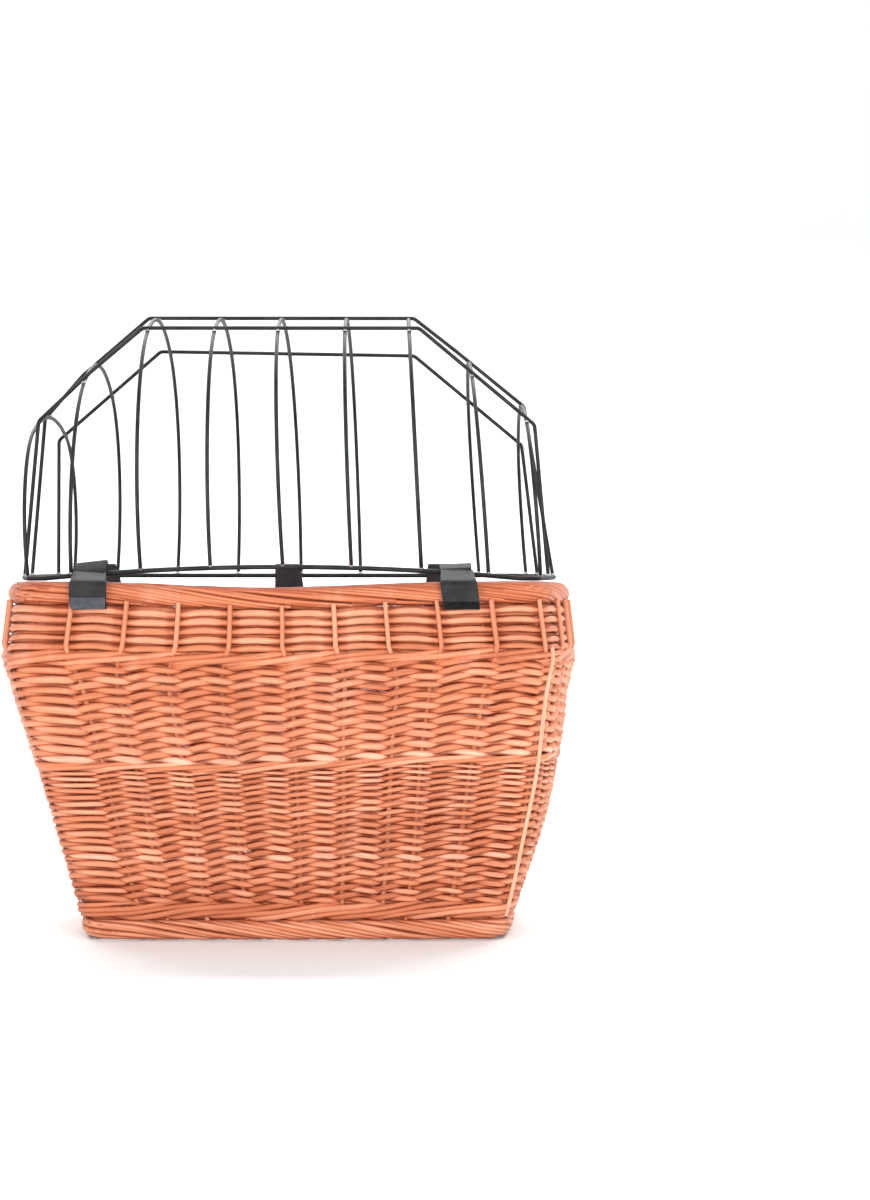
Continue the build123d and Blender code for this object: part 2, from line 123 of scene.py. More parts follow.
def area_light(name, place, size, watts, colour):
    """A rectangular lamp that faces the basket."""
    data = bpy.data.lights.new(name, "AREA")
    data.shape = "RECTANGLE"
    data.size, data.size_y = size
    data.energy = watts
    data.color = colour
    lamp = object_of(data, name)
    lamp.location = place
    lamp.rotation_euler = (lamp_target - lamp.location).to_track_quat("-Z", "Y").to_euler()


bpy.context.scene.view_settings.view_transform = "Standard"
world = bpy.data.worlds.new("studio")
world.use_nodes = True
background = world.node_tree.nodes["Background"]
background.inputs["Color"].default_value = (1.0, 1.0, 1.0, 1)
background.inputs["Strength"].default_value = world_light
bpy.context.scene.world = world
area_light("overhead", (0.0, 1.5, 2.3), (4.2, 1.2), 160, (1, 1, 1))
area_light("front", (0.8, -3.0, 1.2), (1.6, 1.2), 56, (1, 0.985, 0.97))
area_light("fill", (-1.9, -2.4, 0.8), (1.6, 1.6), 22, (0.98, 0.98, 1))
print("lights:", len(bpy.data.lights))

# %% [markdown]
# ## Materials
# Buff willow is boiled in its bark and peeled, which gives the orange tan of this basket.
# Each rod has its own tone and runs paler and redder in streaks along its length, so three
# attributes are written on every rod: its tone, where a point lies along and round it, and
# how far it faces up and down towards the next rod and lies behind a stake, which darkens its
# colour there as painted shade.

# %% Node helpers
def new_material(name, gloss, roughness=0.5):
    made = bpy.data.materials.new(name)
    made.use_nodes = True
    shader = made.node_tree.nodes["Principled BSDF"]
    shader.inputs["Specular IOR Level"].default_value = gloss
    shader.inputs["Roughness"].default_value = roughness
    return made, made.node_tree, shader


def add(tree, kind, settings=(), **inputs):
    """A node with its settings and its unlinked inputs, by name."""
    node = tree.nodes.new(kind)
    for key, value in settings:
        setattr(node, key, value)
    for key, value in inputs.items():
        node.inputs[key.replace("_", " ")].default_value = value
    return node


def attribute(tree, name, output="Fac"):
    """A value that is written on the mesh."""
    return add(tree, "ShaderNodeAttribute", [("attribute_name", name)]).outputs[output]


def noise(tree, vector, **inputs):
    """A noise texture that reads a vector socket."""
    node = add(tree, "ShaderNodeTexNoise", **inputs)
    tree.links.new(vector, node.inputs["Vector"])
    return node.outputs["Fac"]


def ramp(tree, source, stops):
    """Turns a value into a colour, by (place, colour) stops."""
    node = tree.nodes.new("ShaderNodeValToRGB")
    tree.links.new(source, node.inputs["Fac"])
    while len(node.color_ramp.elements) < len(stops):
        node.color_ramp.elements.new(0.5)
    for element, (place, colour) in zip(node.color_ramp.elements, stops):
        element.position = place
        element.color = (*colour, 1)
    return node.outputs["Color"]


def mix(tree, kind, share, a, b):
    """Mixes two colours; each of share, a and b is a value or a socket."""
    node = add(tree, "ShaderNodeMix", [("data_type", "RGBA"), ("blend_type", kind)])
    for slot, socket_type, value in (("Factor", "VALUE", share), ("A", "RGBA", a), ("B", "RGBA", b)):
        socket = next(s for s in node.inputs if s.name == slot and s.type == socket_type)
        if isinstance(value, (int, float)):
            socket.default_value = value
        elif isinstance(value, tuple):
            socket.default_value = (*value, 1)
        else:
            tree.links.new(value, socket)
    return next(s for s in node.outputs if s.type == "RGBA")


def bump(tree, shader, height, strength, distance):
    node = add(tree, "ShaderNodeBump", Strength=strength, Distance=distance)
    tree.links.new(height, node.inputs["Height"])
    tree.links.new(node.outputs["Normal"], shader.inputs["Normal"])


# %% Floor material
white, tree, shader = new_material("pale_sheet", gloss=0.1, roughness=0.9)
shader.inputs["Base Color"].default_value = (0.905, 0.935, 0.945, 1)
floor.data.materials.append(white)
print("floor finish:", white.name)


# %% Willow material
def willow_material(name, deep, middle, pale, cream):
    made, tree, shader = new_material(name, gloss=0.22, roughness=0.48)
    place = add(tree, "ShaderNodeTexCoord").outputs["Object"]
    grain = attribute(tree, "grain", "Vector")
    base = ramp(tree, attribute(tree, "tone"), [(0.0, deep), (0.45, middle), (0.85, pale), (1.0, cream)])
    upright_patches = add(tree, "ShaderNodeMapping", Scale=(30.0, 30.0, 7.0))
    tree.links.new(place, upright_patches.inputs["Vector"])
    # Pale cream patches, partly the willow's own pale spots and partly painted highlights.
    cream_spot_noise = noise(tree, upright_patches.outputs["Vector"], Scale=1.0, Detail=3.0, Roughness=0.6)
    cream_spots_and_highlights = ramp(tree, cream_spot_noise, [(0.56, (0, 0, 0)), (0.74, (1, 1, 1))])
    colour = mix(tree, "MIX", mix(tree, "MULTIPLY", 1.0, cream_spots_and_highlights, (0.32, 0.32, 0.32)), base, cream)
    streaks = ramp(tree, noise(tree, grain, Scale=1.4, Detail=4.0, Roughness=0.6),
                   [(0.3, (0.74, 0.60, 0.54)), (0.55, (1, 1, 1)), (0.75, (1.12, 1.16, 1.2))])
    patches = ramp(tree, noise(tree, place, Scale=14.0, Detail=3.0),
                   [(0.35, (0.86, 0.78, 0.74)), (0.6, (1.04, 1.04, 1.04))])
    # Painted shade: this darkens a rod towards deep red where it meets the next rod and where it lies behind
    # a stake.
    shade = ramp(tree, attribute(tree, "painted_crevice_shade"),
                 [(0.35, (1, 1, 1)), (0.6, (0.82, 0.66, 0.56)), (1.0, (0.38, 0.145, 0.075))])
    for share, layer in ((0.85, streaks), (0.7, patches), (1.0, shade)):
        colour = mix(tree, "MULTIPLY", share, colour, layer)
    tree.links.new(colour, shader.inputs["Base Color"])
    bump(tree, shader, noise(tree, grain, Scale=6.0, Detail=5.0), strength=0.35, distance=0.0006)
    return made


willow = willow_material("buff_willow", deep=(0.50, 0.138, 0.058), middle=(0.66, 0.24, 0.124),
                         pale=(0.80, 0.365, 0.225), cream=(0.90, 0.56, 0.41))
print("willow nodes:", len(willow.node_tree.nodes))

# %% [markdown]
# ## The wall as a surface
# Every rod follows one curved wall, so the wall is worked out once. Its plan is a rectangle
# with bowed sides and round corners, at the foot, the belly and the rim, and it is straight
# between those heights, as in the CAD. The hand-woven right side swells out a little between
# foot and belly. A place on the wall is a distance round the belly, a height, and a depth in
# from the outside.

# %% Wall
belly_z, rim_z = 0.252, 0.320
# Each plan is its width, depth, side bow, front bow and shift to the right.
plans = {
    "foot": (0.372, 0.288, 0.010, 0.005, 0.010),
    "belly": (0.478, 0.374, 0.029, 0.008, 0.0),
    "rim": (0.462, 0.374, 0.029, 0.005, 0.0),
}
corner_round = 0.028
right_swell, swell_foot, swell_height = 0.009, 0.02, 0.20
steps_long, steps_short, steps_corner = 160, 128, 24


def bowed_side(chord, bow, apart):
    """Centre and radius of a bowed side that faces -Y, and stands apart from the middle."""
    radius = (chord * chord / 4 + bow * bow) / (2 * bow)
    return Vector((0, radius - bow - apart)), radius


def corner_centre(front, front_radius, side, side_radius, guess):
    """Where the two sides, each moved in by the corner's radius, meet."""
    point = guess.copy()
    for attempt in range(12):
        to_front, to_side = point - front, point - side
        front_miss = to_front.length - front_radius + corner_round
        side_miss = to_side.length - side_radius + corner_round
        a, b = to_front.normalized(), to_side.normalized()
        det = a.x * b.y - a.y * b.x
        step_x = (front_miss * b.y - side_miss * a.y) / det
        step_y = (side_miss * a.x - front_miss * b.x) / det
        point -= Vector((step_x, step_y))
    return point


def plan_points(width, depth, side_bow, front_bow, shift):
    """Points of the plan moved in by the corner's radius, and outward directions, from the
    middle of the left side round the front, as two arrays."""
    front, front_radius = bowed_side(width, front_bow, depth / 2)
    facing, side_radius = bowed_side(depth, side_bow, width / 2)
    side = Vector((-facing.y, 0))
    guess = Vector((width / 2 - corner_round, corner_round - depth / 2))
    centre = corner_centre(front, front_radius, side, side_radius, guess)
    front_end = math.atan2(*(centre - front).yx)
    side_start = math.atan2(*(centre - side).yx)
    half = []
    for angle in np.linspace(-math.pi / 2, front_end, steps_long // 2, endpoint=False):
        half.append((front, front_radius - corner_round, angle))
    for angle in np.linspace(front_end, side_start, steps_corner, endpoint=False):
        half.append((centre, 0, angle))
    for angle in np.linspace(side_start, 0, steps_short // 2 + 1):
        half.append((side, side_radius - corner_round, angle))
    inner = np.array([[c.x + r * math.cos(a), c.y + r * math.sin(a)] for c, r, a in half])
    outward = np.array([[math.cos(a), math.sin(a)] for c, r, a in half])
    flip_x, flip_y = np.array([-1, 1]), np.array([1, -1])
    rings = []
    for source in (inner, outward):
        left_front = source[::-1] * flip_x
        front_half = np.concatenate([left_front[:-1], source])
        rear_half = front_half[::-1] * flip_y
        rings.append(np.concatenate([front_half[:-1], rear_half[:-1]]))
    rings[0][:, 0] += shift
    return rings


def marks_along(points):
    """How far along a path each of its points lies."""
    steps = np.linalg.norm(np.diff(points, axis=0), axis=1)
    return np.concatenate([[0], np.cumsum(steps)])


wall_levels = [plan_points(*plans[name]) for name in ("foot", "belly", "rim")]
belly_outside = wall_levels[1][0] + corner_round * wall_levels[1][1]
wall_marks = marks_along(np.concatenate([belly_outside, belly_outside[:1]]))
girth = wall_marks[-1]
print("round the belly:", round(girth, 3), "m")


def wall(t, z, inset):
    """Points on the wall: t is the distance round the belly, and arrays are welcome."""
    t, z, inset = np.broadcast_arrays(np.asarray(t, float), z, inset)
    found = []
    for inner, outward in wall_levels:
        both = []
        for source in (inner, outward):
            closed = np.concatenate([source, source[:1]])
            both.append(np.stack([np.interp(t % girth, wall_marks, closed[:, i]) for i in (0, 1)], axis=-1))
        found.append(both)
    low = np.clip(z / belly_z, 0, 1)[..., None]
    high = np.clip((z - belly_z) / (rim_z - belly_z), 0, 1)[..., None]
    place = [found[0][i] * (1 - low) + found[1][i] * low for i in (0, 1)]
    place = [place[i] * (1 - high) + found[2][i] * high for i in (0, 1)]
    away = place[1] / np.linalg.norm(place[1], axis=-1, keepdims=True)
    bulge = np.sin(math.pi * np.clip((z - swell_foot) / swell_height, 0, 1))
    swell = right_swell * np.clip(away[..., 0], 0, 1) ** 2 * bulge
    flat = place[0] + away * (corner_round - inset + swell)[..., None]
    return np.concatenate([flat, z[..., None]], axis=-1)


# %% [markdown]
# ## Stakes
# The uprights are the skeleton, and they are worked in pairs. One rod of each pair stands
# outside the open band and shows there. Further down the two part, and the weaving goes in
# and out between them. The pairs are set out from the middle of each side, as a basket maker
# pins them, with one in each corner, and they fan with the wall.

# %% Stake places
pair_pitch = 0.047
pairs_long, pairs_short = 9, 7
parted = 0.38  # how far the two rods of a pair stand apart, as a share of the pitch


def t_at(x, y):
    """Distance round the belly of the wall point nearest to a place."""
    return wall_marks[np.argmin(np.hypot(belly_outside[:, 0] - x, belly_outside[:, 1] - y))]


def places_along(count):
    """Where the pairs of one side stand, from its middle."""
    return [step * pair_pitch for step in range(-(count // 2), count // 2 + 1)]


half_w, half_d = plans["belly"][0] / 2, plans["belly"][1] / 2
sides = [[t_at(x, -half_d) for x in places_along(pairs_long)],
         [t_at(half_w, y) for y in places_along(pairs_short)],
         [t_at(-x, half_d) for x in places_along(pairs_long)],
         [t_at(-half_w, -y) for y in places_along(pairs_short)]]
pair_t = []
for number, these in enumerate(sides):
    lap = girth if number == 3 else 0
    following = sides[(number + 1) % 4][0] + lap
    pair_t += these + [(these[-1] + following) / 2]
pair_t = np.array(sorted(pair_t))
beside = parted * pair_pitch / 2
single_t = np.sort(np.concatenate([pair_t - beside, pair_t + beside]))
print("stakes:", len(pair_t), "pairs")


# %% Counting along the wall
def turns(t, marks):
    """How many marks lie before t, with a fraction between two marks."""
    laps = np.floor((t - marks[0]) / girth)
    ends = np.append(marks, marks[0] + girth)
    return np.interp(t - laps * girth, ends, np.arange(len(ends))) + laps * len(marks)


# %% [markdown]
# ## Rods
# A rod is a curve with a round bevel, thick at its butt and thin at its tip. A skinned or
# extruded mesh would also do, but a curve keeps the section square to its run and takes a
# radius at each point. All the rods of a band become one mesh, which then gets its tones.

# %% Rod builder
grain_pace, hidden_shade = 14, 0.5


def tube_mesh(name, runs, ring_steps):
    """One mesh of open tubes from many runs of (points, radii), or (points, radii, hidden)."""
    curve = bpy.data.curves.new(name, "CURVE")
    curve.dimensions = "3D"
    curve.bevel_depth = 1.0
    curve.bevel_resolution = ring_steps
    for points, radii, *others in runs:
        spline = curve.splines.new("POLY")
        spline.points.add(len(points) - 1)
        spline.points.foreach_set("co", np.column_stack([points, np.ones(len(points))]).ravel())
        spline.points.foreach_set("radius", radii)
    carrier = object_of(curve, name + "_curve")
    bpy.context.view_layer.update()
    mesh = bpy.data.meshes.new_from_object(carrier.evaluated_get(bpy.context.evaluated_depsgraph_get()))
    bpy.data.objects.remove(carrier)
    bpy.data.curves.remove(curve)
    mesh.name = name
    return mesh


def write_grain(mesh, runs, tones, depth):
    """Writes each rod's tone, a point's place along and round its rod, and its painted shade, which
    darkens it where rods touch, as strongly as depth asks, and where a rod dives behind a stake."""
    around = len(mesh.vertices) // sum(len(run[0]) for run in runs)
    angle = np.linspace(0, 2 * math.pi, around, endpoint=False)
    grain, tone, middle, size, hidden = [], [], [], [], []
    for (points, radii, *others), value in zip(runs, tones):
        marks = marks_along(points) + chance.uniform(0, 40)
        grain.append(np.column_stack([np.repeat(marks * grain_pace, around),
                                      np.tile(np.cos(angle), len(points)),
                                      np.tile(np.sin(angle), len(points))]))
        tone.append(np.full(len(points), value))
        middle.append(points[:, 2])
        size.append(radii)
        hidden.append(others[0] if others else np.zeros(len(points)))
    tone, middle, size, hidden = (np.repeat(np.concatenate(part), around)
                                  for part in (tone, middle, size, hidden))
    places = np.empty(len(mesh.vertices) * 3)
    mesh.vertices.foreach_get("co", places)
    # Painted shade: darker towards a rod's top and bottom, where it meets the next rod, and where it passes
    # behind a stake.
    painted_crevice_shade = depth * abs(places[2::3] - middle) / size + hidden_shade * np.clip(hidden + 0.35, 0, 1)
    for name, values in (("tone", tone), ("painted_crevice_shade", painted_crevice_shade)):
        mesh.attributes.new(name, "FLOAT", "POINT").data.foreach_set("value", values.astype(np.float32))
    grain = np.concatenate(grain).astype(np.float32)
    mesh.attributes.new("grain", "FLOAT_VECTOR", "POINT").data.foreach_set("vector", grain.ravel())


def close_ends(mesh):
    """Fills the cut ends flat, with a crisp edge."""
    shape = bmesh.new()
    shape.from_mesh(mesh)
    rims = [e for e in shape.edges if e.is_boundary]
    for face in bmesh.ops.holes_fill(shape, edges=rims, sides=0)["faces"]:
        face.smooth = False
    for edge in rims:
        edge.smooth = False
    shape.to_mesh(mesh)
    shape.free()


def closed_tubes(mesh, name, material):
    """One object of tubes with filled ends and a single finish."""
    close_ends(mesh)
    mesh.materials.clear()
    mesh.materials.append(material)
    return object_of(mesh, name)


def belongs(piece, body, nodes=()):
    """Puts a piece on its body and in place of the CAD nodes it shows."""
    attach(piece, body)
    if nodes:
        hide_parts(*nodes)
    return piece


def rods_piece(name, runs, tones, nodes, ring_steps=1, depth=0.5):
    mesh = tube_mesh(name, runs, ring_steps)
    write_grain(mesh, runs, tones, depth)
    print(name, len(runs), "rods")
    return belongs(closed_tubes(mesh, name, willow), "basket", nodes)


# %% [markdown]
# ## Weaving
# Two rods make a row. One passes in front of the left stake of every pair and the other in
# front of the right stake. The first gets paler tones and the second deeper ones, which paints
# light and shade as pale and deep columns side by side. They dip where they cross between the
# two stakes of a pair and ride up between two pairs, and beside each stake a lens-shaped gap
# opens. A texture could show that only from one side, so each row is modelled, pieced from
# real rods, a butt laid in where a tip has run out.

# %% Hand work
hand_rise, rise_spread = 0.008, 0.17
level_below, level_above = 0.05, 0.268
rise_run, fall_run, ripple_run = 0.10, 0.04, 0.03
corner_t = (sides[0][-1] + sides[1][0]) / 2


def hand_lift(t, z):
    """The rows climb a little to the right front corner, and wander, as hand weaving does."""
    near = np.exp(-(((t - corner_t) / rise_spread) ** 2))
    middle = np.clip((z - level_below) / rise_run, 0, 1) * np.clip((level_above - z) / fall_run, 0, 1)
    ripple = 0.0008 * np.sin(t * 21 + z * 60) + 0.0006 * np.sin(t * 47 - z * 35)
    return hand_rise * near * middle + ripple * np.clip(z / ripple_run, 0, 1)


def wander(t, radius):
    """Small waves in a strand's height, new ones for each strand."""
    waves = [np.sin(t * pace + chance.uniform(0, 9)) for pace in (31, 73)]
    return radius * (0.15 * waves[0] + 0.13 * waves[1])


def pieced(behind, points, radii, rod_length, taper):
    """Cuts a strand that goes all the way round into tapered rods that join behind a stake."""
    spots = np.where((behind[1:-1] > behind[:-2]) & (behind[1:-1] >= behind[2:]))[0] + 1
    count = max(2, round(girth / rod_length))
    wanted = [(k + chance.uniform(-0.3, 0.3)) * len(points) / count for k in range(count)]
    cuts = sorted({int(spots[np.argmin(abs(spots - w % len(points)))]) for w in wanted})
    runs = []
    for start, end in zip(cuts, cuts[1:] + [cuts[0] + len(points)]):
        index = np.arange(start, end + 1) % len(points)
        share = np.linspace(0, 1, len(index))
        size = radii[index] * (1 + taper * (0.5 - share)) * chance.uniform(0.95, 1.06)
        runs.append((points[index], size, behind[index]))
    return runs


def new_tones(runs, low=0.0, high=1.0):
    """A tone for each rod, from 0 for a deep one to 1 for a pale one."""
    return [low + (high - low) * chance.betavariate(2.0, 2.0) for run in runs]


# %% Two-rod rows
def paired_rows(name, node, low, high, rows, slimming, share, middle, depth, rod_length, step, ring_steps):
    """slimming is how much slimmer the top row is than the lowest, share is the rods' radius
    as a share of the row, and depth is how far the rods swing out and in."""
    sizes = 1 - slimming * np.linspace(0, 1, rows) ** 2
    pitches = (high - low) * sizes / sizes.sum()
    heights = low + np.cumsum(pitches) - pitches / 2
    t = np.arange(0, girth, step) + single_t[0]
    angle = math.pi * turns(t, single_t)
    # Of each strand: the side it starts on, its height in quarters of a row, and its tones.
    # The paler tones of the first strand and the deeper tones of the second are painted light and shade.
    strands = ((1, -0.9 - 0.4 * np.sin(angle), (0.35, 0.95)), (-1, 0.9 - 0.7 * np.sin(angle), (0.1, 0.7)))
    runs, tones = [], []
    for z, pitch in zip(heights, pitches):
        radius = pitch * share
        for side, height, painted_light_tones in strands:
            front = side * np.cos(angle)
            place_z = z + pitch / 4 * height + wander(t, radius) + hand_lift(t, z)
            points = wall(t, place_z, middle - depth * front)
            fresh = pieced(-front, points, radius * (1 + 0.08 * front), rod_length, 0.24)
            runs += fresh
            tones += new_tones(fresh, *painted_light_tones)
    return rods_piece(name, runs, tones, [node], ring_steps, 0.6)


# %% [markdown]
# ## Wales
# A wale is a firm line of three or four rods, each worked in front of all the pairs but one
# and then behind one. Each strand climbs while it is in front and drops back behind, so the
# band shows slim strands that rise to the right and end under the next one. A twisted tube
# would look alike from afar, but its strands never end, so each strand's height and depth are
# written here as functions of the pairs that it has passed. Two more strands close the band
# on the inside.

# %% Waling
def waled_band(name, node, low, high, rods, middle, radius):
    """middle is how deep the rods' centre line lies, and they swing out and in from it."""
    swing, inside_gap, step = 0.0036, 0.0046, 0.005
    t = np.arange(0, girth, step) + pair_t[0]
    z = (low + high) / 2
    lift = (high - low) / 2 - radius * 0.9
    shown = (rods - 1) / rods
    radii = np.full(len(t), radius)
    runs, tones = [], []
    for number in range(rods):
        # lap runs from 0 to 1 between two dives, and front and back are its two parts.
        lap = (turns(t, pair_t) / rods + number / rods) % 1
        front = np.clip(lap / shown, 0, 1)
        back = np.clip((lap - shown) / (1 - shown), 0, 1)
        climb = 2 * front - 1 - 2 * back * back * (3 - 2 * back)
        height = z + lift * climb + wander(t, radius) + hand_lift(t, z)
        out = np.where(back > 0, -np.sin(math.pi * back), np.minimum(1, 2.2 * np.sin(math.pi * front)))
        fresh = pieced(-out, wall(t, height, middle - swing * out), radii, 0.8, 0.3)
        runs += fresh
        tones += new_tones(fresh, 0.1, 0.9)
    for share in (-0.45, 0.45):
        inside = wall(t, z + share * (high - low) + hand_lift(t, z), middle + inside_gap)
        fresh = pieced(turns(t, pair_t) % 1, inside, radii, 0.8, 0.3)
        runs += fresh
        tones += new_tones(fresh, 0.1, 0.6)
    return rods_piece(name, runs, tones, [node], 2, 0.6)


# %% Heights of the bands
foot_border_top, foot_wale_top = 0.020, 0.036
lower_weave_top, lower_wale_top = 0.152, 0.161
middle_weave_top, upper_wale_top, upper_weave_top = 0.246, 0.258, 0.300

# %% Bands
waled_band("foot_wale_rods", "foot_wale", foot_border_top - 0.001, foot_wale_top,
           rods=4, middle=0.0052, radius=0.0025)
paired_rows("fine_weave", "lower_weave", foot_wale_top - 0.0012, lower_weave_top + 0.0015,
            rows=18, slimming=0.42, share=0.325, middle=0.0054, depth=0.0032,
            rod_length=0.75, step=0.0045, ring_steps=1)
waled_band("lower_wale_rods", "lower_wale", lower_weave_top - 0.0005, lower_wale_top + 0.0005,
           rods=3, middle=0.0056, radius=0.0022)
paired_rows("thick_weave", "middle_weave", lower_wale_top - 0.0015, middle_weave_top + 0.0012,
            rows=10, slimming=0.08, share=0.33, middle=0.0062, depth=0.0034,
            rod_length=0.7, step=0.004, ring_steps=2)
waled_band("upper_wale_rods", "upper_wale", middle_weave_top - 0.001, upper_wale_top + 0.001,
           rods=3, middle=0.0066, radius=0.0029)

# %% Dip of the rim
rim_dip, dip_centre, dip_spread, dip_height = 0.0055, -0.012, 0.105, 0.042


def rim_drop(t, z):
    """The border and the rods under it hang a little lower in the middle of front and rear."""
    place = wall(t, rim_z, 0.0)[..., 0] - dip_centre
    return rim_dip * np.exp(-((place / dip_spread) ** 2)) * np.clip((z - upper_wale_top) / dip_height, 0, 1)


# %% [markdown]
# ## Rolled borders
# To finish a basket, the stakes' ends are bent down and laid behind, over and in front of one
# another, so each pair climbs up the inside, passes over the top and comes down the outside,
# where it is cut off. A ring with slanted bumps would be cheaper, but the cut ends below it
# need real rods, so each rod is laid round a hidden core.

# %% Border rods
strand_gap, core_share = 0.004, 0.75


def rolled_border(name, node, centre, inset, reach_out, reach_up, radius, start, end, run, spread,
                  dropped, strands, tones):
    """start and end are angles round the core, run is how many pairs a rod passes, and
    spread is the angle across the strands of one pair."""
    runs = []
    ends = np.concatenate([pair_t - girth, pair_t, pair_t + girth])
    share = np.linspace(0, 1, 30)
    for number in range(len(pair_t)):
        for side in np.linspace(-0.5, 0.5, strands):
            passed = number + len(pair_t) + share * run * chance.uniform(0.93, 1.07)
            place = np.interp(passed, np.arange(len(ends)), ends) + side * strand_gap
            angle = np.radians(start + side * spread + (end - start) * share) + chance.uniform(-0.05, 0.05)
            z = centre + reach_up * np.sin(angle)
            size = radius * (1.1 - 0.25 * share) * chance.uniform(0.93, 1.08)
            lowered = rim_drop(place, z) if dropped else 0
            runs.append((wall(place, z - lowered, inset - reach_out * np.cos(angle)), size))
    t = np.append(np.arange(0, girth, 0.008), girth)
    lowered = rim_drop(t, np.full(len(t), centre)) if dropped else 0
    core = (wall(t, centre - lowered, np.full(len(t), inset)), np.full(len(t), reach_out * core_share))
    return rods_piece(name, runs + [core], new_tones(runs, *tones) + [0.1], [node], 2, 0.8)


# %% Borders
rolled_border("rim_roll", "rim_border", centre=0.3098, inset=0.0092, reach_out=0.0071, reach_up=0.0078,
              radius=0.0025, start=215, end=-62, run=6.6, spread=36, dropped=True, strands=3,
              tones=(0.0, 0.6))
rolled_border("foot_roll", "foot_border", centre=0.0098, inset=0.0072, reach_out=0.0058, reach_up=0.0067,
              radius=0.0028, start=165, end=-88, run=4.2, spread=38, dropped=False, strands=2,
              tones=(0.4, 1.0))

# %% [markdown]
# ## Open band
# Under the border the rows run behind the outer rod of every pair, so the stakes stand clear
# in front. The rows below could go on up here, but they would dip at every stake, and these
# run nearly straight. Slimmer rows behind them keep the light out, as the inner halves of the
# real rows do, and they are toned deeper as painted shade.

# %% Open band
row_radius, row_inset, row_rise, row_swing = 0.0030, 0.0050, 0.0006, 0.0004
closing_slimmer, closing_deeper = 0.0001, 0.0044


def open_band(rows, closing_rows):
    """Rows in front, and slimmer rows that close the band behind them, toned deeper as painted shade."""
    t = np.arange(0, girth, 0.006) + pair_t[0]
    behind = np.cos(2 * math.pi * turns(t, pair_t))
    pitch = (upper_weave_top - upper_wale_top) / rows
    places = [(row, 0) for row in range(rows)]
    places += [(row, 1) for row in np.linspace(-0.6, rows - 0.05, closing_rows)]
    runs, tones = [], []
    for row, deeper in places:
        z = upper_wale_top + (row + 0.4) * pitch
        radius = row_radius - closing_slimmer * deeper
        height = z - row_rise * behind * (1 - deeper) + wander(t, radius)
        height = height + hand_lift(t, z) - rim_drop(t, z)
        points = wall(t, height, row_inset + closing_deeper * deeper + row_swing * behind * (1 - deeper))
        fresh = pieced(behind, points, np.full(len(t), radius), 0.8, 0.3)
        runs += fresh
        # The closing rows get deeper tones: painted shade behind the front rows.
        tones += new_tones(fresh, 0.0, 0.4) if deeper else new_tones(fresh, 0.2, 0.82)
    return rods_piece("open_weave", runs, tones, ["upper_weave"], 1, 0.42)


open_band(rows=5, closing_rows=9)

# %% Stake rods
stake_foot, stake_top = 0.012, 0.304
stake_part, part_run = 0.19, 0.03
stake_dive, dive_run, dive_start = 0.0062, 0.012, 0.004
outer_inset, outer_radius, inner_inset, inner_radius = 0.0014, 0.0023, 0.0100, 0.0022


def upright(t, inset, radius, part):
    """A stake, which dives in below the upper wale and parts there from its pair, by a share
    of the pitch."""
    z = np.linspace(stake_foot, stake_top, 30)
    under = upper_wale_top + dive_start - z
    sway = 0.0008 * np.sin(z * 38 + t * 9)
    place = t + part * pair_pitch * np.clip(under / part_run, 0, 1) + sway
    drop = rim_drop(np.full(len(z), t), z)
    size = radius * (1.05 - 0.12 * np.linspace(0, 1, len(z)))
    return wall(place, z - drop, inset + stake_dive * np.clip(under / dive_run, 0, 1)), size


outer = []
for t in pair_t:
    radius = outer_radius * chance.uniform(0.92, 1.08)
    outer.append(upright(t, outer_inset, radius, chance.choice((-stake_part, stake_part))))
inner = [upright(t, inner_inset, inner_radius, part) for part in (stake_part, -stake_part) for t in pair_t]
# One pale rod lies loose beside the right front corner.
loose_low, loose_high, loose_aside, loose_sway = 0.022, 0.262, 0.007, 0.0006
loose_inset, loose_radius = 0.0006, 0.0019
loose_z = np.linspace(loose_low, loose_high, 40)
loose_t = corner_t + loose_aside + loose_sway * np.sin(loose_z * 50)
corner_rod = (wall(loose_t, loose_z, loose_inset), np.full(len(loose_z), loose_radius))
rods_piece("stake_rods", outer + inner + [corner_rod], new_tones(outer, 0.3, 0.8) + new_tones(inner) + [0.9],
           ["stakes"], 2)

# %% [markdown]
# ## Floor of the basket and corner posts
# The floor is woven across seven sticks, over one and under the next, and four thick posts
# stand inside the corners. Both are seen from above and below, so they are real rods too. A
# weaver could be bent over the sticks by a simulation, but a cosine wave has the same shape
# and never tangles. Every other weaver has its wave turned over.

# %% Floor sticks
stick_pitch, stick_radius, stick_z = 0.040, 0.0031, 0.0066
# The floor lies a little to the right of the middle, as the foot does.
floor_half_x, floor_half_y, floor_x, floor_round = 0.181, 0.134, 0.0096, 0.014


def floor_reach(place, half, other_half, bow):
    """How far the floor reaches at a place: out to the bowed border, with round corners."""
    over = min(floor_round, max(0.0, abs(place) - (half - floor_round)))
    return other_half - bow * (place / half) ** 2 - (floor_round - math.sqrt(floor_round ** 2 - over ** 2))


runs = []
for y in (row * stick_pitch for row in range(-3, 4)):
    half = floor_reach(y, floor_half_y, floor_half_x, bow=0.010)
    x = np.linspace(-half, half, 24)
    bent_y = np.full(len(x), y) + 0.0006 * np.sin(x * 40 + y * 90)
    line = np.column_stack([x + floor_x, bent_y, np.full(len(x), stick_z)])
    runs.append((line, np.full(len(x), stick_radius)))
rods_piece("floor_sticks", runs, new_tones(runs, 0.2, 0.8), ["base_sticks"], 3)

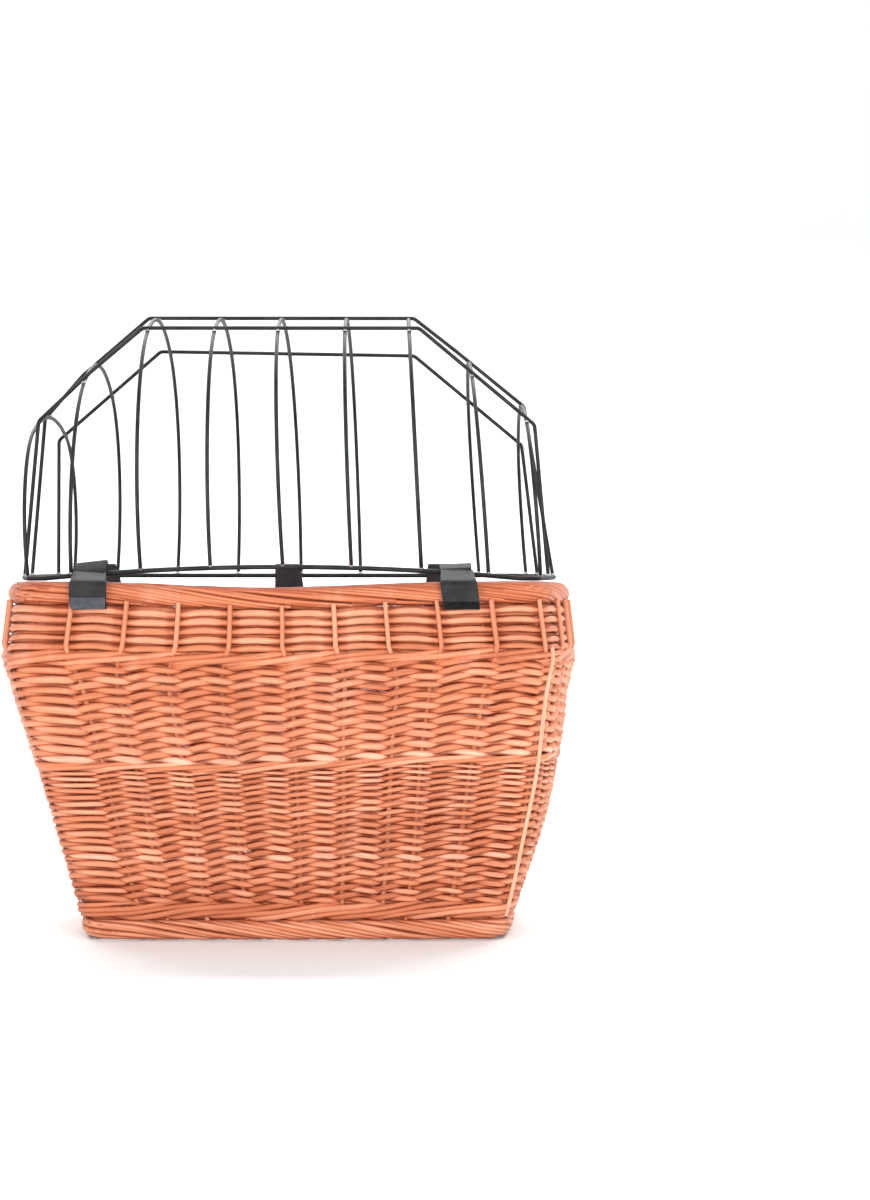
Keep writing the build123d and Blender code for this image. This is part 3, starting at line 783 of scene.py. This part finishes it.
# %% Floor weave
weaver_pitch, weaver_radius, weaver_z, weaver_swing = 0.0051, 0.0022, 0.0069, 0.0045
runs = []
weavers = int(2 * floor_half_x / weaver_pitch)
for number in range(weavers):
    x = (number - (weavers - 1) / 2) * weaver_pitch
    half = floor_reach(x, floor_half_x, floor_half_y, bow=0.005)
    y = np.linspace(-half, half, 50)
    z = weaver_z + weaver_swing * np.cos(math.pi * y / stick_pitch) * (-1) ** number
    line = np.column_stack([x + floor_x + 0.0004 * np.sin(y * 60 + x * 500), y, z])
    runs.append((line, np.full(len(y), weaver_radius) * chance.uniform(0.93, 1.05)))
rods_piece("floor_weave", runs, new_tones(runs), ["base_panel"], 1)

# %% Corner posts
post_foot, post_length, post_in = 0.036, 0.222, 0.0176
post_butt, post_tip = 0.0046, 0.0042
low, high = plans["foot"], plans["belly"]
runs = []
for side_x in (-1, 1):
    for side_y in (-1, 1):
        line = []
        for z in (post_foot + share * post_length for share in np.linspace(0, 1, 12)):
            up = z / belly_z if z < belly_z else 1.0
            width, depth, shift = (low[i] + (high[i] - low[i]) * up for i in (0, 1, 4))
            line.append((shift + side_x * (width / 2 - post_in), side_y * (depth / 2 - post_in), z))
        runs.append((np.array(line), np.linspace(post_butt, post_tip, len(line))))
rods_piece("post_rods", runs, new_tones(runs, 0.3, 0.7), ["corner_posts"], 4)

# %% [markdown]
# ## Wire
# The guard is mild steel wire, bent, spot welded and dipped. The dip leaves a dark grey skin
# that is a little uneven. The weld beads are bright bare metal, which shows where a weld was
# squeezed and also paints the highlights on the tops of the crossings. One noise drives both
# colour and roughness, so that they change together, and a much finer one gives the pits. Two
# noises for colour and gloss would look like dirt on paint.

# %% Wire materials
def clouded(tree, shader, scale, detail, stops, rough_range=None):
    """Colours a surface by a noise on its own place, and roughens it by the same noise."""
    place = add(tree, "ShaderNodeTexCoord").outputs["Object"]
    cloud = noise(tree, place, Scale=scale, Detail=detail)
    tree.links.new(ramp(tree, cloud, stops), shader.inputs["Base Color"])
    if rough_range:
        rough = add(tree, "ShaderNodeMapRange", To_Min=rough_range[0], To_Max=rough_range[1])
        tree.links.new(cloud, rough.inputs["Value"])
        tree.links.new(rough.outputs["Result"], shader.inputs["Roughness"])
    return place, cloud


def wire_material(name, dark, light, metallic, rough_range):
    made, tree, shader = new_material(name, gloss=0.25)
    shader.inputs["Metallic"].default_value = metallic
    place, cloud = clouded(tree, shader, 55.0, 4.0, [(0.35, dark), (0.7, light)], rough_range)
    bump(tree, shader, noise(tree, place, Scale=900.0, Detail=2.0), strength=0.25, distance=0.0002)
    return made


wire_skin = wire_material("dipped_wire", (0.012, 0.0125, 0.014), (0.034, 0.035, 0.039), 0.2, (0.45, 0.67))
# Weld metal, bright enough to also paint the highlights on the tops of the crossings.
weld_metal_and_highlight = wire_material("bright_weld_and_highlight", (0.30, 0.30, 0.30), (0.62, 0.62, 0.61), 0.9, (0.24, 0.46))
print("wire finishes:", wire_skin.name, weld_metal_and_highlight.name)

# %% [markdown]
# ## Guard frame and rails
# The base frame is one loop: the rear wire turns in the straps, the sides bow out over the
# rim, and the front wire springs up in the middle. Three rails run over the top, each bent
# by hand a little differently, and stand on the side wires. A path is the list of its real
# bends, and one function rounds them all, since wire bent in a jig has one bend radius.

# %% Guard sizes
frame_wire, grille_wire, coated = 0.0045, 0.0030, 0.0036
half_guard, half_deep = 0.222, 0.168
guard_bow, front_arch, guard_corner, flat_end = 0.025, 0.010, 0.018, 0.0133
rest_z, hinge_z = 0.32255, 0.32905
side_rail_y, end_rib_reach = 0.106, 0.148
weld_gap, rail_bend = 0.0003, 0.007
rail_weld, crown_weld, foot_weld, weld_lift = 0.0021, 0.0019, 0.0020, 0.0016
# Rails and ribs stand this far off the base wire, and a rail's bead sits this far up from
# the middle of that wire.
rail_stand, rib_stand, rail_bead = 0.0004, 0.0002, 0.0023
# Places of the ribs' feet and crowns, and of the rails' bends, as shares of half the guard's
# width. A bend also has its height over the hinge.
foot_shares = (-0.84, -0.565, -0.288, 0.0, 0.272, 0.55, 0.815)
crown_shares = (-1.034, -0.827, -0.569, -0.297, -0.04, 0.234, 0.495, 0.75, 0.973)
crown_bends = ((-1.057, 0.1465), (-0.895, 0.188), (-0.613, 0.242),
               (0.518, 0.242), (0.7, 0.2105), (0.988, 0.1585))
front_bends = ((-1.012, 0.1365), (-0.8, 0.181), (-0.588, 0.221), (0.54, 0.221), (1.012, 0.1335))
rear_bends = ((-1.067, 0.133), (-0.613, 0.221), (0.518, 0.217), (0.998, 0.1285))


def bow_at(half, bow, place):
    """How far a bowed wire stands out of its chord at a place along it."""
    radius = (half ** 2 + bow ** 2) / (2 * bow)
    return bow - radius + np.sqrt(radius ** 2 - np.asarray(place, float) ** 2)


# %% Wires of the guard's base
def side_wire_x(y):
    return half_guard + bow_at(half_deep, guard_bow, y)


def frame_z(y):
    return rest_z + (hinge_z - rest_z) * (y + half_deep) / (2 * half_deep)


def front_wire_z(x):
    half = half_guard - flat_end
    return rest_z + bow_at(half, front_arch, np.clip(x, -half, half))


# %% Wire helpers
def round_corners(points, radius, closed=False, steps=7):
    """Replaces each corner of a path with an arc that touches both runs, and takes up less
    than half of either, so that two arcs never meet."""
    most = 0.48
    points = [Vector(p) for p in points]
    count = len(points)
    path = []
    for i, corner in enumerate(points):
        if not closed and i in (0, count - 1):
            path.append(corner)
            continue
        before = (points[i - 1] - corner).normalized()
        after = (points[(i + 1) % count] - corner).normalized()
        half_angle = before.angle(after) / 2
        reach = min(radius / math.tan(half_angle), most * (points[i - 1] - corner).length,
                    most * (points[(i + 1) % count] - corner).length)
        centre = corner + (before + after).normalized() * reach / math.cos(half_angle)
        start, end = corner + before * reach - centre, corner + after * reach - centre
        turn = start.angle(end)
        for step in range(steps + 1):
            share = turn * step / steps
            path.append(centre + (start * math.sin(turn - share) + end * math.sin(share)) / math.sin(turn))
    return [tuple(p) for p in path]


def wire_piece(name, path, thickness, node):
    """One bent wire of the guard."""
    path = np.array([tuple(p) for p in path])
    print(name, round(float(marks_along(path)[-1]), 3), "m of wire")
    mesh = tube_mesh(name, [(path, np.full(len(path), thickness / 2))], 3)
    return belongs(closed_tubes(mesh, name, wire_skin), "guard", [node])


# %% Base frame
side_end = half_deep - guard_corner
corner_x = float(side_wire_x(side_end)) - guard_corner
turn = np.linspace(0, math.pi / 2, 9)[1:-1]
side_run = [(float(side_wire_x(y)), y) for y in np.linspace(side_end, -side_end, 40)]
front_turn = [(corner_x + guard_corner * math.cos(a), -side_end - guard_corner * math.sin(a)) for a in turn]
front_run = [(x, -half_deep) for x in np.linspace(corner_x, -corner_x, 60)]
left_run = [(-x, y) for x, y in (side_run + front_turn)[::-1]]
rear_turn = [(x, -y) for x, y in front_turn]
rear_run = [(-x, y) for x, y in rear_turn] + [(-corner_x, half_deep), (corner_x, half_deep)] + rear_turn[::-1]
plan = np.array(side_run + front_turn + front_run + left_run + rear_run + side_run[:1])
front_share = np.clip((-side_end - plan[:, 1]) / guard_corner, 0, 1)
loop_z = frame_z(plan[:, 1]) * (1 - front_share) + front_wire_z(plan[:, 0]) * front_share
wire_piece("base_frame_wire", np.column_stack([plan, loop_z]), frame_wire, "guard_frame")
print("guard base:", round(2 * float(side_wire_x(0)), 3), "by", round(2 * half_deep, 3), "m")


# %% Rails
def rail_line(bends):
    return [(share * half_guard, hinge_z + rise) for share, rise in bends]


def rail_at(line, x):
    """Height and slope of a rail at a place along it."""
    for (x0, z0), (x1, z1) in zip(line, line[1:]):
        slope = (z1 - z0) / (x1 - x0)
        if x < x1:
            break
    return z0 + slope * (x - x0), slope


def rail_wire(name, line, y):
    """A rail over the ribs, with both ends welded on the side wires."""
    feet = []
    for side, (x, z) in ((-1, line[0]), (1, line[-1])):
        wire = Vector((side * float(side_wire_x(y)), y, float(frame_z(y))))
        run = (Vector((x, y, z)) - wire).normalized()
        feet.append(wire + run * (frame_wire / 2 + rail_stand))
        welds.append((wire + run * rail_bead, rail_weld))
    path = round_corners([feet[0]] + [(x, y, z) for x, z in line] + [feet[1]], rail_bend)
    wire_piece(name + "_wire", path, coated, name)


welds = []
crown_line, front_line, rear_line = rail_line(crown_bends), rail_line(front_bends), rail_line(rear_bends)
rail_wire("crown_rail", crown_line, 0.0)
rail_wire("front_rail", front_line, -side_rail_y)
rail_wire("rear_rail", rear_line, side_rail_y)

# %% [markdown]
# ## Ribs
# Nine hoops run front to back. Each rises from the front wire in a gentle arc, goes over the
# crown under the three rails, and comes down to the rear wire. Two leg arcs meet one crown
# arc smoothly, as in the CAD. A Bezier curve could be drawn by hand, but it would have to be
# drawn anew when a rail moves. Worked out from its feet and its crown, a rib follows.

# %% Arcs of a rib
def on_circle(centre, radius, angle):
    return centre + Vector((math.cos(angle), math.sin(angle))) * radius


def leg(top, heading, foot, stand, steps=22):
    """The arc that leaves the crown smoothly and stops at its wire."""
    run = foot - top
    turn = math.atan2(heading.x * run.y - heading.y * run.x, heading.dot(run))
    radius = run.length / (2 * math.sin(abs(turn)))
    side = 1 if turn > 0 else -1
    centre = top + Vector((-heading.y * side, heading.x * side)) * radius
    start = math.atan2(*(top - centre).yx)
    sweep = 2 * turn - side * stand / radius
    return [on_circle(centre, radius, start + sweep * k / steps) for k in range(steps + 1)]


def hoop_centre(a, b, c):
    """Centre of the circle through three points."""
    squares = [p.length_squared for p in (a, b, c)]
    rises, runs = (b.y - c.y, c.y - a.y, a.y - b.y), (c.x - b.x, a.x - c.x, b.x - a.x)
    area = 2 * (a.x * rises[0] + b.x * rises[1] + c.x * rises[2])
    return Vector([sum(s * part for s, part in zip(squares, parts)) for parts in (rises, runs)]) / area


def arc_between(centre, a, c, steps=16):
    """Points of the arc over the top from a to c."""
    from_a, to_c = (math.atan2(*(p - centre).yx) for p in (a, c))
    radius = (a - centre).length
    return [on_circle(centre, radius, angle) for angle in np.linspace(from_a, to_c, steps + 1)]


# %% Ribs
stack = grille_wire + weld_gap


def under_rail(line, foot_x, lean, crown_z):
    """Height at which a rib passes under a side rail."""
    z = crown_z
    for attempt in range(3):
        rail_z, slope = rail_at(line, foot_x + lean * (z - hinge_z))
        fall = 2 * math.atan2(crown_z - rail_z + stack, side_rail_y)
        z = rail_z - stack * math.sqrt(slope ** 2 + 1 / math.cos(fall) ** 2)
    return z


def rib_feet(index):
    """Reach to front and rear, place and the heights of both feet: the end ribs stand on the
    side wires, and the others on the front and rear wires."""
    if index in (0, len(crown_shares) - 1):
        foot_x = float(side_wire_x(end_rib_reach)) * (-1 if index == 0 else 1)
        return end_rib_reach, foot_x, float(frame_z(-end_rib_reach)), float(frame_z(end_rib_reach))
    foot_x = foot_shares[index - 1] * half_guard
    return half_deep, foot_x, float(front_wire_z(foot_x)), hinge_z


def rib_wire(index):
    """A rib, drawn flat with its middle at the origin and then leaned to its place."""
    reach, foot_x, front_z, rear_z = rib_feet(index)
    crown = crown_shares[index] * half_guard
    height, slope = rail_at(crown_line, crown)
    crown_z = height - stack * math.sqrt(1 + slope ** 2)
    lean = (crown - foot_x) / (crown_z - hinge_z)

    def flat(y, z):
        return Vector((y, (z - hinge_z) * math.sqrt(1 + lean ** 2)))

    def leaned(point):
        return Vector((foot_x, point.x, hinge_z)) + Vector((lean, 0, 1)).normalized() * point.y

    top = flat(0, crown_z)
    right = flat(side_rail_y, under_rail(rear_line, foot_x, lean, crown_z))
    left = flat(-side_rail_y, under_rail(front_line, foot_x, lean, crown_z))
    centre = hoop_centre(left, top, right)
    to_left, to_right = (left - centre).normalized(), (right - centre).normalized()
    stand = frame_wire / 2 + rib_stand
    front = leg(left, Vector((-to_left.y, to_left.x)), flat(-reach, front_z), stand)
    rear = leg(right, Vector((to_right.y, -to_right.x)), flat(reach, rear_z), stand)
    points = [leaned(p) for p in front[::-1] + arc_between(centre, left, right)[1:-1] + rear]
    number = str(index + 1)
    wire_piece("rib_wire_" + number, points, coated, "guard_rib_" + number)
    lift = Vector((0, 0, weld_lift))
    spots = (top, right) if index == 0 else (left, top, right)
    welds.extend((leaned(spot) + lift, crown_weld) for spot in spots)
    welds.extend((spot, foot_weld) for spot in (points[0], points[-1]))


for index in range(len(crown_shares)):
    rib_wire(index)
print("ribs:", len(crown_shares), "welds:", len(welds))

# %% [markdown]
# ## Welds
# Where two wires cross, the spot weld squeezes out a small bead, bright bare metal that also
# paints the highlight on top of the crossing. A bump in the paint would vanish against the
# light, so a bead is a squashed sphere of few faces, each a little different. All are one mesh,
# because nothing sets one apart from the next.

# %% Welds
shape = bmesh.new()
for place, size in welds:
    stretch = Matrix.Diagonal((1.25 * chance.uniform(0.85, 1.15), 1.1 * chance.uniform(0.85, 1.15), 0.9, 1))
    bmesh.ops.create_uvsphere(shape, u_segments=10, v_segments=7, radius=size,
                              matrix=Matrix.Translation(place) @ stretch)
beads = mesh_of(shape, "weld_beads")
beads.data.materials.append(weld_metal_and_highlight)
belongs(beads, "guard")
print("weld beads:", len(beads.data.polygons), "faces")

# %% [markdown]
# ## Straps
# The straps are black imitation leather, folded round the border or the wire and sewn along
# their edges. A cloth simulation would have to find a folded shape that is known already, so
# one line across the strap is extruded along the fold, where its width can change on the way,
# and Solidify and Bevel give it thickness and soft edges.

# %% Strap materials
def leather_material():
    made, tree, shader = new_material("black_leather", gloss=0.14)
    place, cloud = clouded(tree, shader, 60.0, 5.0,
                           [(0.3, (0.016, 0.0155, 0.017)), (0.75, (0.036, 0.0345, 0.037))], (0.40, 0.62))
    pebble = add(tree, "ShaderNodeTexVoronoi", Scale=620.0)
    tree.links.new(place, pebble.inputs["Vector"])
    bump(tree, shader, pebble.outputs["Distance"], strength=0.5, distance=0.0004)
    return made


def plain_dark(name, dark, light, roughness, scale, gloss=0.5):
    made, tree, shader = new_material(name, gloss, roughness)
    place, cloud = clouded(tree, shader, scale, 4.0, [(0.3, dark), (0.7, light)])
    bump(tree, shader, cloud, strength=0.5, distance=0.0004)
    return made


leather = leather_material()
thread = plain_dark("sewing_thread", (0.03, 0.03, 0.035), (0.10, 0.10, 0.11), 0.8, 900.0)
# The left strip's lighter bluish grey is partly its own colour and partly a painted sheen.
blue_nylon_and_sheen = plain_dark("smooth_hook_nylon_and_sheen", (0.030, 0.034, 0.045), (0.065, 0.072, 0.095), 0.40, 200.0)
black_nylon = plain_dark("black_hook_nylon", (0.004, 0.004, 0.004), (0.020, 0.018, 0.018), 0.8, 500.0, 0.12)
hook_skins = {"left": blue_nylon_and_sheen, "right": black_nylon}
print("strap finishes:", leather.name, thread.name, blue_nylon_and_sheen.name, black_nylon.name)

# %% Strap sizes
# The eye of a strap is the room that it leaves round the wire.
strap_width, loop_width, front_loop_width, strap_thick = 0.032, 0.023, 0.028, 0.0016
strap_edge, seat_gap = 0.0005, 0.0003
eye_reach, eye_rise = frame_wire / 2 + 0.0053, 0.004
front_x = {"left": -0.16868, "right": 0.15207}
rear_x = {"left": -0.87 * half_guard, "centre": -0.047 * half_guard, "right": 0.635 * half_guard}
leans = {"left": 0.0, "right": 0.006}
lean_top, lean_bottom = 0.336, 0.292


def leaning(side, z):
    """The right strap was sewn on askew and runs to the right on its way down."""
    return leans[side] * (lean_top - z) / (lean_top - lean_bottom)


def node_box(node):
    """Lowest and highest corner of a CAD node."""
    low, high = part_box(node)
    return Vector(low), Vector(high)


# %% Strap builder
def folded_strap(name, line, width_at, body, node, closed=False):
    """line is (y, z) points along the fold, and width_at gives left and right x there."""
    across = 8
    shape = bmesh.new()
    left, right = width_at(*line[0])
    row = [shape.verts.new((left + (right - left) * k / across, *line[0])) for k in range(across + 1)]
    edges = [shape.edges.new(pair) for pair in zip(row, row[1:])]
    for y, z in line[1:]:
        grown = bmesh.ops.extrude_edge_only(shape, edges=edges)["geom"]
        edges = [g for g in grown if isinstance(g, bmesh.types.BMEdge)]
        verts = sorted({v for e in edges for v in e.verts}, key=lambda v: v.co.x)
        left, right = width_at(y, z)
        for k, vert in enumerate(verts):
            vert.co = (left + (right - left) * k / across, y, z)
    if closed:
        bmesh.ops.remove_doubles(shape, verts=shape.verts, dist=1e-5)
    bmesh.ops.recalc_face_normals(shape, faces=shape.faces)
    piece = mesh_of(shape, name)
    piece.data.materials.append(leather)
    solid = piece.modifiers.new("thickness", "SOLIDIFY")
    solid.thickness, solid.offset = strap_thick, 0.0
    soft = piece.modifiers.new("soft_edges", "BEVEL")
    soft.width, soft.segments = strap_edge, 2
    soft.limit_method, soft.angle_limit = "ANGLE", math.radians(50)
    print(name, round(1000 * float(marks_along(np.array(line))[-1])), "mm of band")
    return belongs(piece, body, [node])


# %% Folds and stitches
def fold(points, radius, closed=False):
    """Rounds the corners of a (y, z) path and closes it if it is a band."""
    path = round_corners([(0, y, z) for y, z in points], radius, closed)
    line = [(y, z) for x, y, z in path]
    return line + [line[0]] if closed else line


def along_line(line, start, spacing):
    """Evenly spaced places on a (y, z) line, with their headings."""
    look_ahead = 0.0008
    path = np.array(line)
    marks = marks_along(path)
    spots = []
    for mark in np.arange(start, marks[-1] - 1e-6, spacing):
        place = [float(np.interp(mark, marks, path[:, i])) for i in (0, 1)]
        ahead = [float(np.interp(min(mark + look_ahead, marks[-1]), marks, path[:, i])) for i in (0, 1)]
        spots.append((place, (ahead[0] - place[0], ahead[1] - place[1])))
    return spots


def stitches(name, line, width_at, body, start):
    """Two rows of raised stitches along a strap's edges, on its outer face."""
    inset, spacing, half_stitch = 0.0022, 0.0042, 0.0014
    face_lift, arch = 0.0007, 0.00055
    thread_radii = np.array([0.00018, 0.0003, 0.00033, 0.0003, 0.00018])
    runs = []
    for (y, z), (dy, dz) in along_line(line, start, spacing):
        length = math.hypot(dy, dz) or 1
        dy, dz = dy / length, dz / length
        left, right = width_at(y, z)
        for x in (left + inset, right - inset):
            run = []
            for share in (-1, -0.5, 0, 0.5, 1):
                lift = face_lift + arch * (1 - share * share)
                reach = half_stitch * share
                run.append((x, y + dy * reach - dz * lift, z + dz * reach + dy * lift))
            runs.append((np.array(run), thread_radii))
    print(name, len(runs))
    return belongs(closed_tubes(tube_mesh(name, runs, 1), name, thread), body)


# %% Front tabs
tab_fold, seam_start = 0.008, 0.003


def front_tab(side, middle_x):
    """The band round the border that carries the hook strip, sewn on its outer face."""
    low, high = node_box("front_tab_" + side)
    half = strap_thick / 2
    front_y, back_y, bottom, top = low.y + half, high.y - half, low.z + half, high.z - half

    def edges(y, z):
        return middle_x - strap_width / 2 + leaning(side, z), middle_x + strap_width / 2 + leaning(side, z)

    line = fold([(front_y, bottom), (front_y, top), (back_y, top), (back_y, bottom)], tab_fold, True)
    folded_strap("tab_" + side, line, edges, "basket", "front_tab_" + side, closed=True)
    seam = fold([(front_y, bottom + seam_start), (front_y, top), (back_y, top)], tab_fold)
    stitches("tab_stitches_" + side, seam, edges, "basket", seam_start)


for side, middle_x in front_x.items():
    front_tab(side, middle_x)


# %% [markdown]
# ## Hook strips
# The rough half of a touch fastener is a nylon band with rows of small bent hooks, and it
# shows below the flaps. Bump alone would leave its edge sharp and flat, so every hook is a
# bent rod of a few faces, and none stands quite in line.

# %% Hook strips
def hook_base(side, low, high):
    """The sewn patch under the hooks."""
    thick = 0.0007
    shape = bmesh.new()
    bmesh.ops.create_cube(shape, size=1.0)
    bmesh.ops.scale(shape, verts=shape.verts, vec=Vector((high.x - low.x, thick, high.z - low.z)))
    bmesh.ops.bevel(shape, geom=shape.edges, offset=0.0003, segments=2, profile=0.5, material=-1,
                    affect="EDGES")
    middle = ((low.x + high.x) / 2, high.y - thick / 2, (low.z + high.z) / 2)
    bmesh.ops.translate(shape, verts=shape.verts, vec=middle)
    for vert in shape.verts:
        vert.co.x += leaning(side, vert.co.z)
    patch = mesh_of(shape, "hook_base_" + side, smooth=False)
    patch.data.materials.append(hook_skins[side])
    belongs(patch, "basket", ["hook_patch_" + side])


def hooks(side, low, high):
    """Bent hooks in rows, all of them one mesh."""
    bend = [(0, 0), (0.0004, 0.0002), (0.0006, -0.0001), (0.0005, -0.0004)]
    first_x, first_z, margin = 0.0012, 0.001, 0.0008
    pitch_x, pitch_z, sunk = 0.0013, 0.0014, 0.0005
    stray, radius = 3e-4, 0.00018
    runs = []
    for x in np.arange(low.x + first_x, high.x - margin, pitch_x):
        for z in np.arange(low.z + first_z, high.z - margin, pitch_z):
            place_x = x + leaning(side, z) + chance.uniform(-stray, stray)
            place_z = z + chance.uniform(-stray, stray)
            lean = chance.uniform(-0.0004, 0.0004)
            run = [(place_x + lean * k / 3, high.y - sunk - out, place_z + up)
                   for k, (out, up) in enumerate(bend)]
            runs.append((np.array(run), np.full(len(run), radius)))
    name = "hooks_" + side
    print(name, len(runs))
    belongs(closed_tubes(tube_mesh(name, runs, 0), name, hook_skins[side]), "basket")


for side in front_x:
    patch_box = node_box("hook_patch_" + side)
    hook_base(side, *patch_box)
    hooks(side, *patch_box)

# %% [markdown]
# ## Front loops and flaps
# A front strap is sewn round the front wire as a loop. Below its seam it is the flap that
# presses on the hook strip. Both could be one mesh, but the flap is peeled off to open the
# guard, so they are two: the loop stays on the guard, and the flap turns at the seam.

# %% Loops
loop_fold = 0.0022


def wire_loop(side, middle_x, top, tilt):
    """Seen from its end, a loop goes round behind the wire, with a flat slope down to its
    seam, on whose line the flap turns. It is sewn on with a small tilt."""
    wire_z = float(front_wire_z(middle_x))
    corners = [(0.0070, 0.0020), (0.0045, top - 0.0008), (-0.0015, top), (-0.0113, 0.0023),
               (-0.0050, -0.0040), (0.0035, -0.0040)]
    line = fold([(y - half_deep, wire_z + z) for y, z in corners], loop_fold, True)

    def edges(y, z):
        return middle_x - front_loop_width / 2, middle_x + front_loop_width / 2

    loop = folded_strap("wire_loop_" + side, line, edges, "guard", "front_loop_" + side, closed=True)
    for vert in loop.data.vertices:
        vert.co.z += tilt * (vert.co.x - middle_x)


wire_loop("left", front_x["left"], top=0.0108, tilt=0.11)
wire_loop("right", front_x["right"], top=0.0076, tilt=0.05)

# %% Flaps
flap_knee, flap_fold, flap_bow, flap_step = 0.3178, 0.008, 0.0005, 0.0011


def flap(side, middle_x, longer):
    """The part of a front strap below the seam, which presses on the hook strip."""
    low, high = node_box("front_strap_" + side)
    half = strap_thick / 2
    seam_z = float(front_wire_z(middle_x)) + eye_rise / 2
    seam_y = -half_deep - eye_reach - seat_gap - strap_thick * 1.5
    face_y, bottom = low.y + half, low.z + half - longer

    def edges(y, z):
        share = min(1.0, max(0.0, (seam_z - z) / (seam_z - flap_knee)))
        half_width = (front_loop_width + (strap_width - front_loop_width) * share) / 2
        return middle_x - half_width + leaning(side, z), middle_x + half_width + leaning(side, z)

    path = fold([(seam_y, seam_z), (face_y, flap_knee), (face_y, bottom)], flap_fold)
    fine = [place for place, heading in along_line(path, 0.0, flap_step)] + [path[-1]]
    last = len(fine) - 1
    line = [(y - flap_bow * math.sin(math.pi * k / last) ** 2, z) for k, (y, z) in enumerate(fine)]
    folded_strap("flap_" + side, line, edges, side + "_flap", "front_strap_" + side)
    stitches("flap_stitches_" + side, line, edges, side + "_flap", start=0.002)


flap("left", front_x["left"], longer=0.0)
flap("right", front_x["right"], longer=0.004)

# %% [markdown]
# ## Rear straps
# Each rear strap is a closed band round the rear wire and the border, narrow where it
# passes over the wire. It could be made to follow the guard as it opens, but it is sewn tight
# round the border, so it stays with the basket, and the wire turns in it as a hinge pin does.

# %% Rear bands
rear_fold, rib_clearance = 0.004, 0.0015


def beside_rib(middle_x):
    """Middle of the narrow loop on the wire, which keeps clear of the ribs' feet."""
    gap = (loop_width + grille_wire) / 2 + rib_clearance
    for foot_x in (share * half_guard for share in foot_shares):
        if abs(foot_x - middle_x) < gap:
            return foot_x - gap
    return middle_x


def rear_band(side, middle_x):
    low, high = node_box("rear_strap_" + side)
    half = strap_thick / 2
    loop_x = beside_rib(middle_x)
    bottom, crown = low.z + half, hinge_z + eye_rise + eye_reach
    inner_y, outer_y = low.y + half, high.y - half
    shoulder = rim_z + seat_gap + strap_thick

    def edges(y, z):
        left, right = loop_x - loop_width / 2, loop_x + loop_width / 2
        if y > half_deep + 0.001:
            return left, right
        share = min(1.0, max(0.0, (crown + strap_thick - z) / (crown + strap_thick - shoulder)))
        return (left + (middle_x - strap_width / 2 - left) * share,
                right + (middle_x + strap_width / 2 - right) * share)

    corners = [(inner_y, bottom), (inner_y, crown - eye_rise), (half_deep, crown + half),
               (half_deep + eye_reach, crown - eye_rise), (outer_y, shoulder), (outer_y, bottom)]
    line = fold(corners, rear_fold, True)
    folded_strap("rear_band_" + side, line, edges, "basket", "rear_strap_" + side, closed=True)


for side, middle_x in rear_x.items():
    rear_band(side, middle_x)
print("straps:", len(front_x) + len(rear_x))
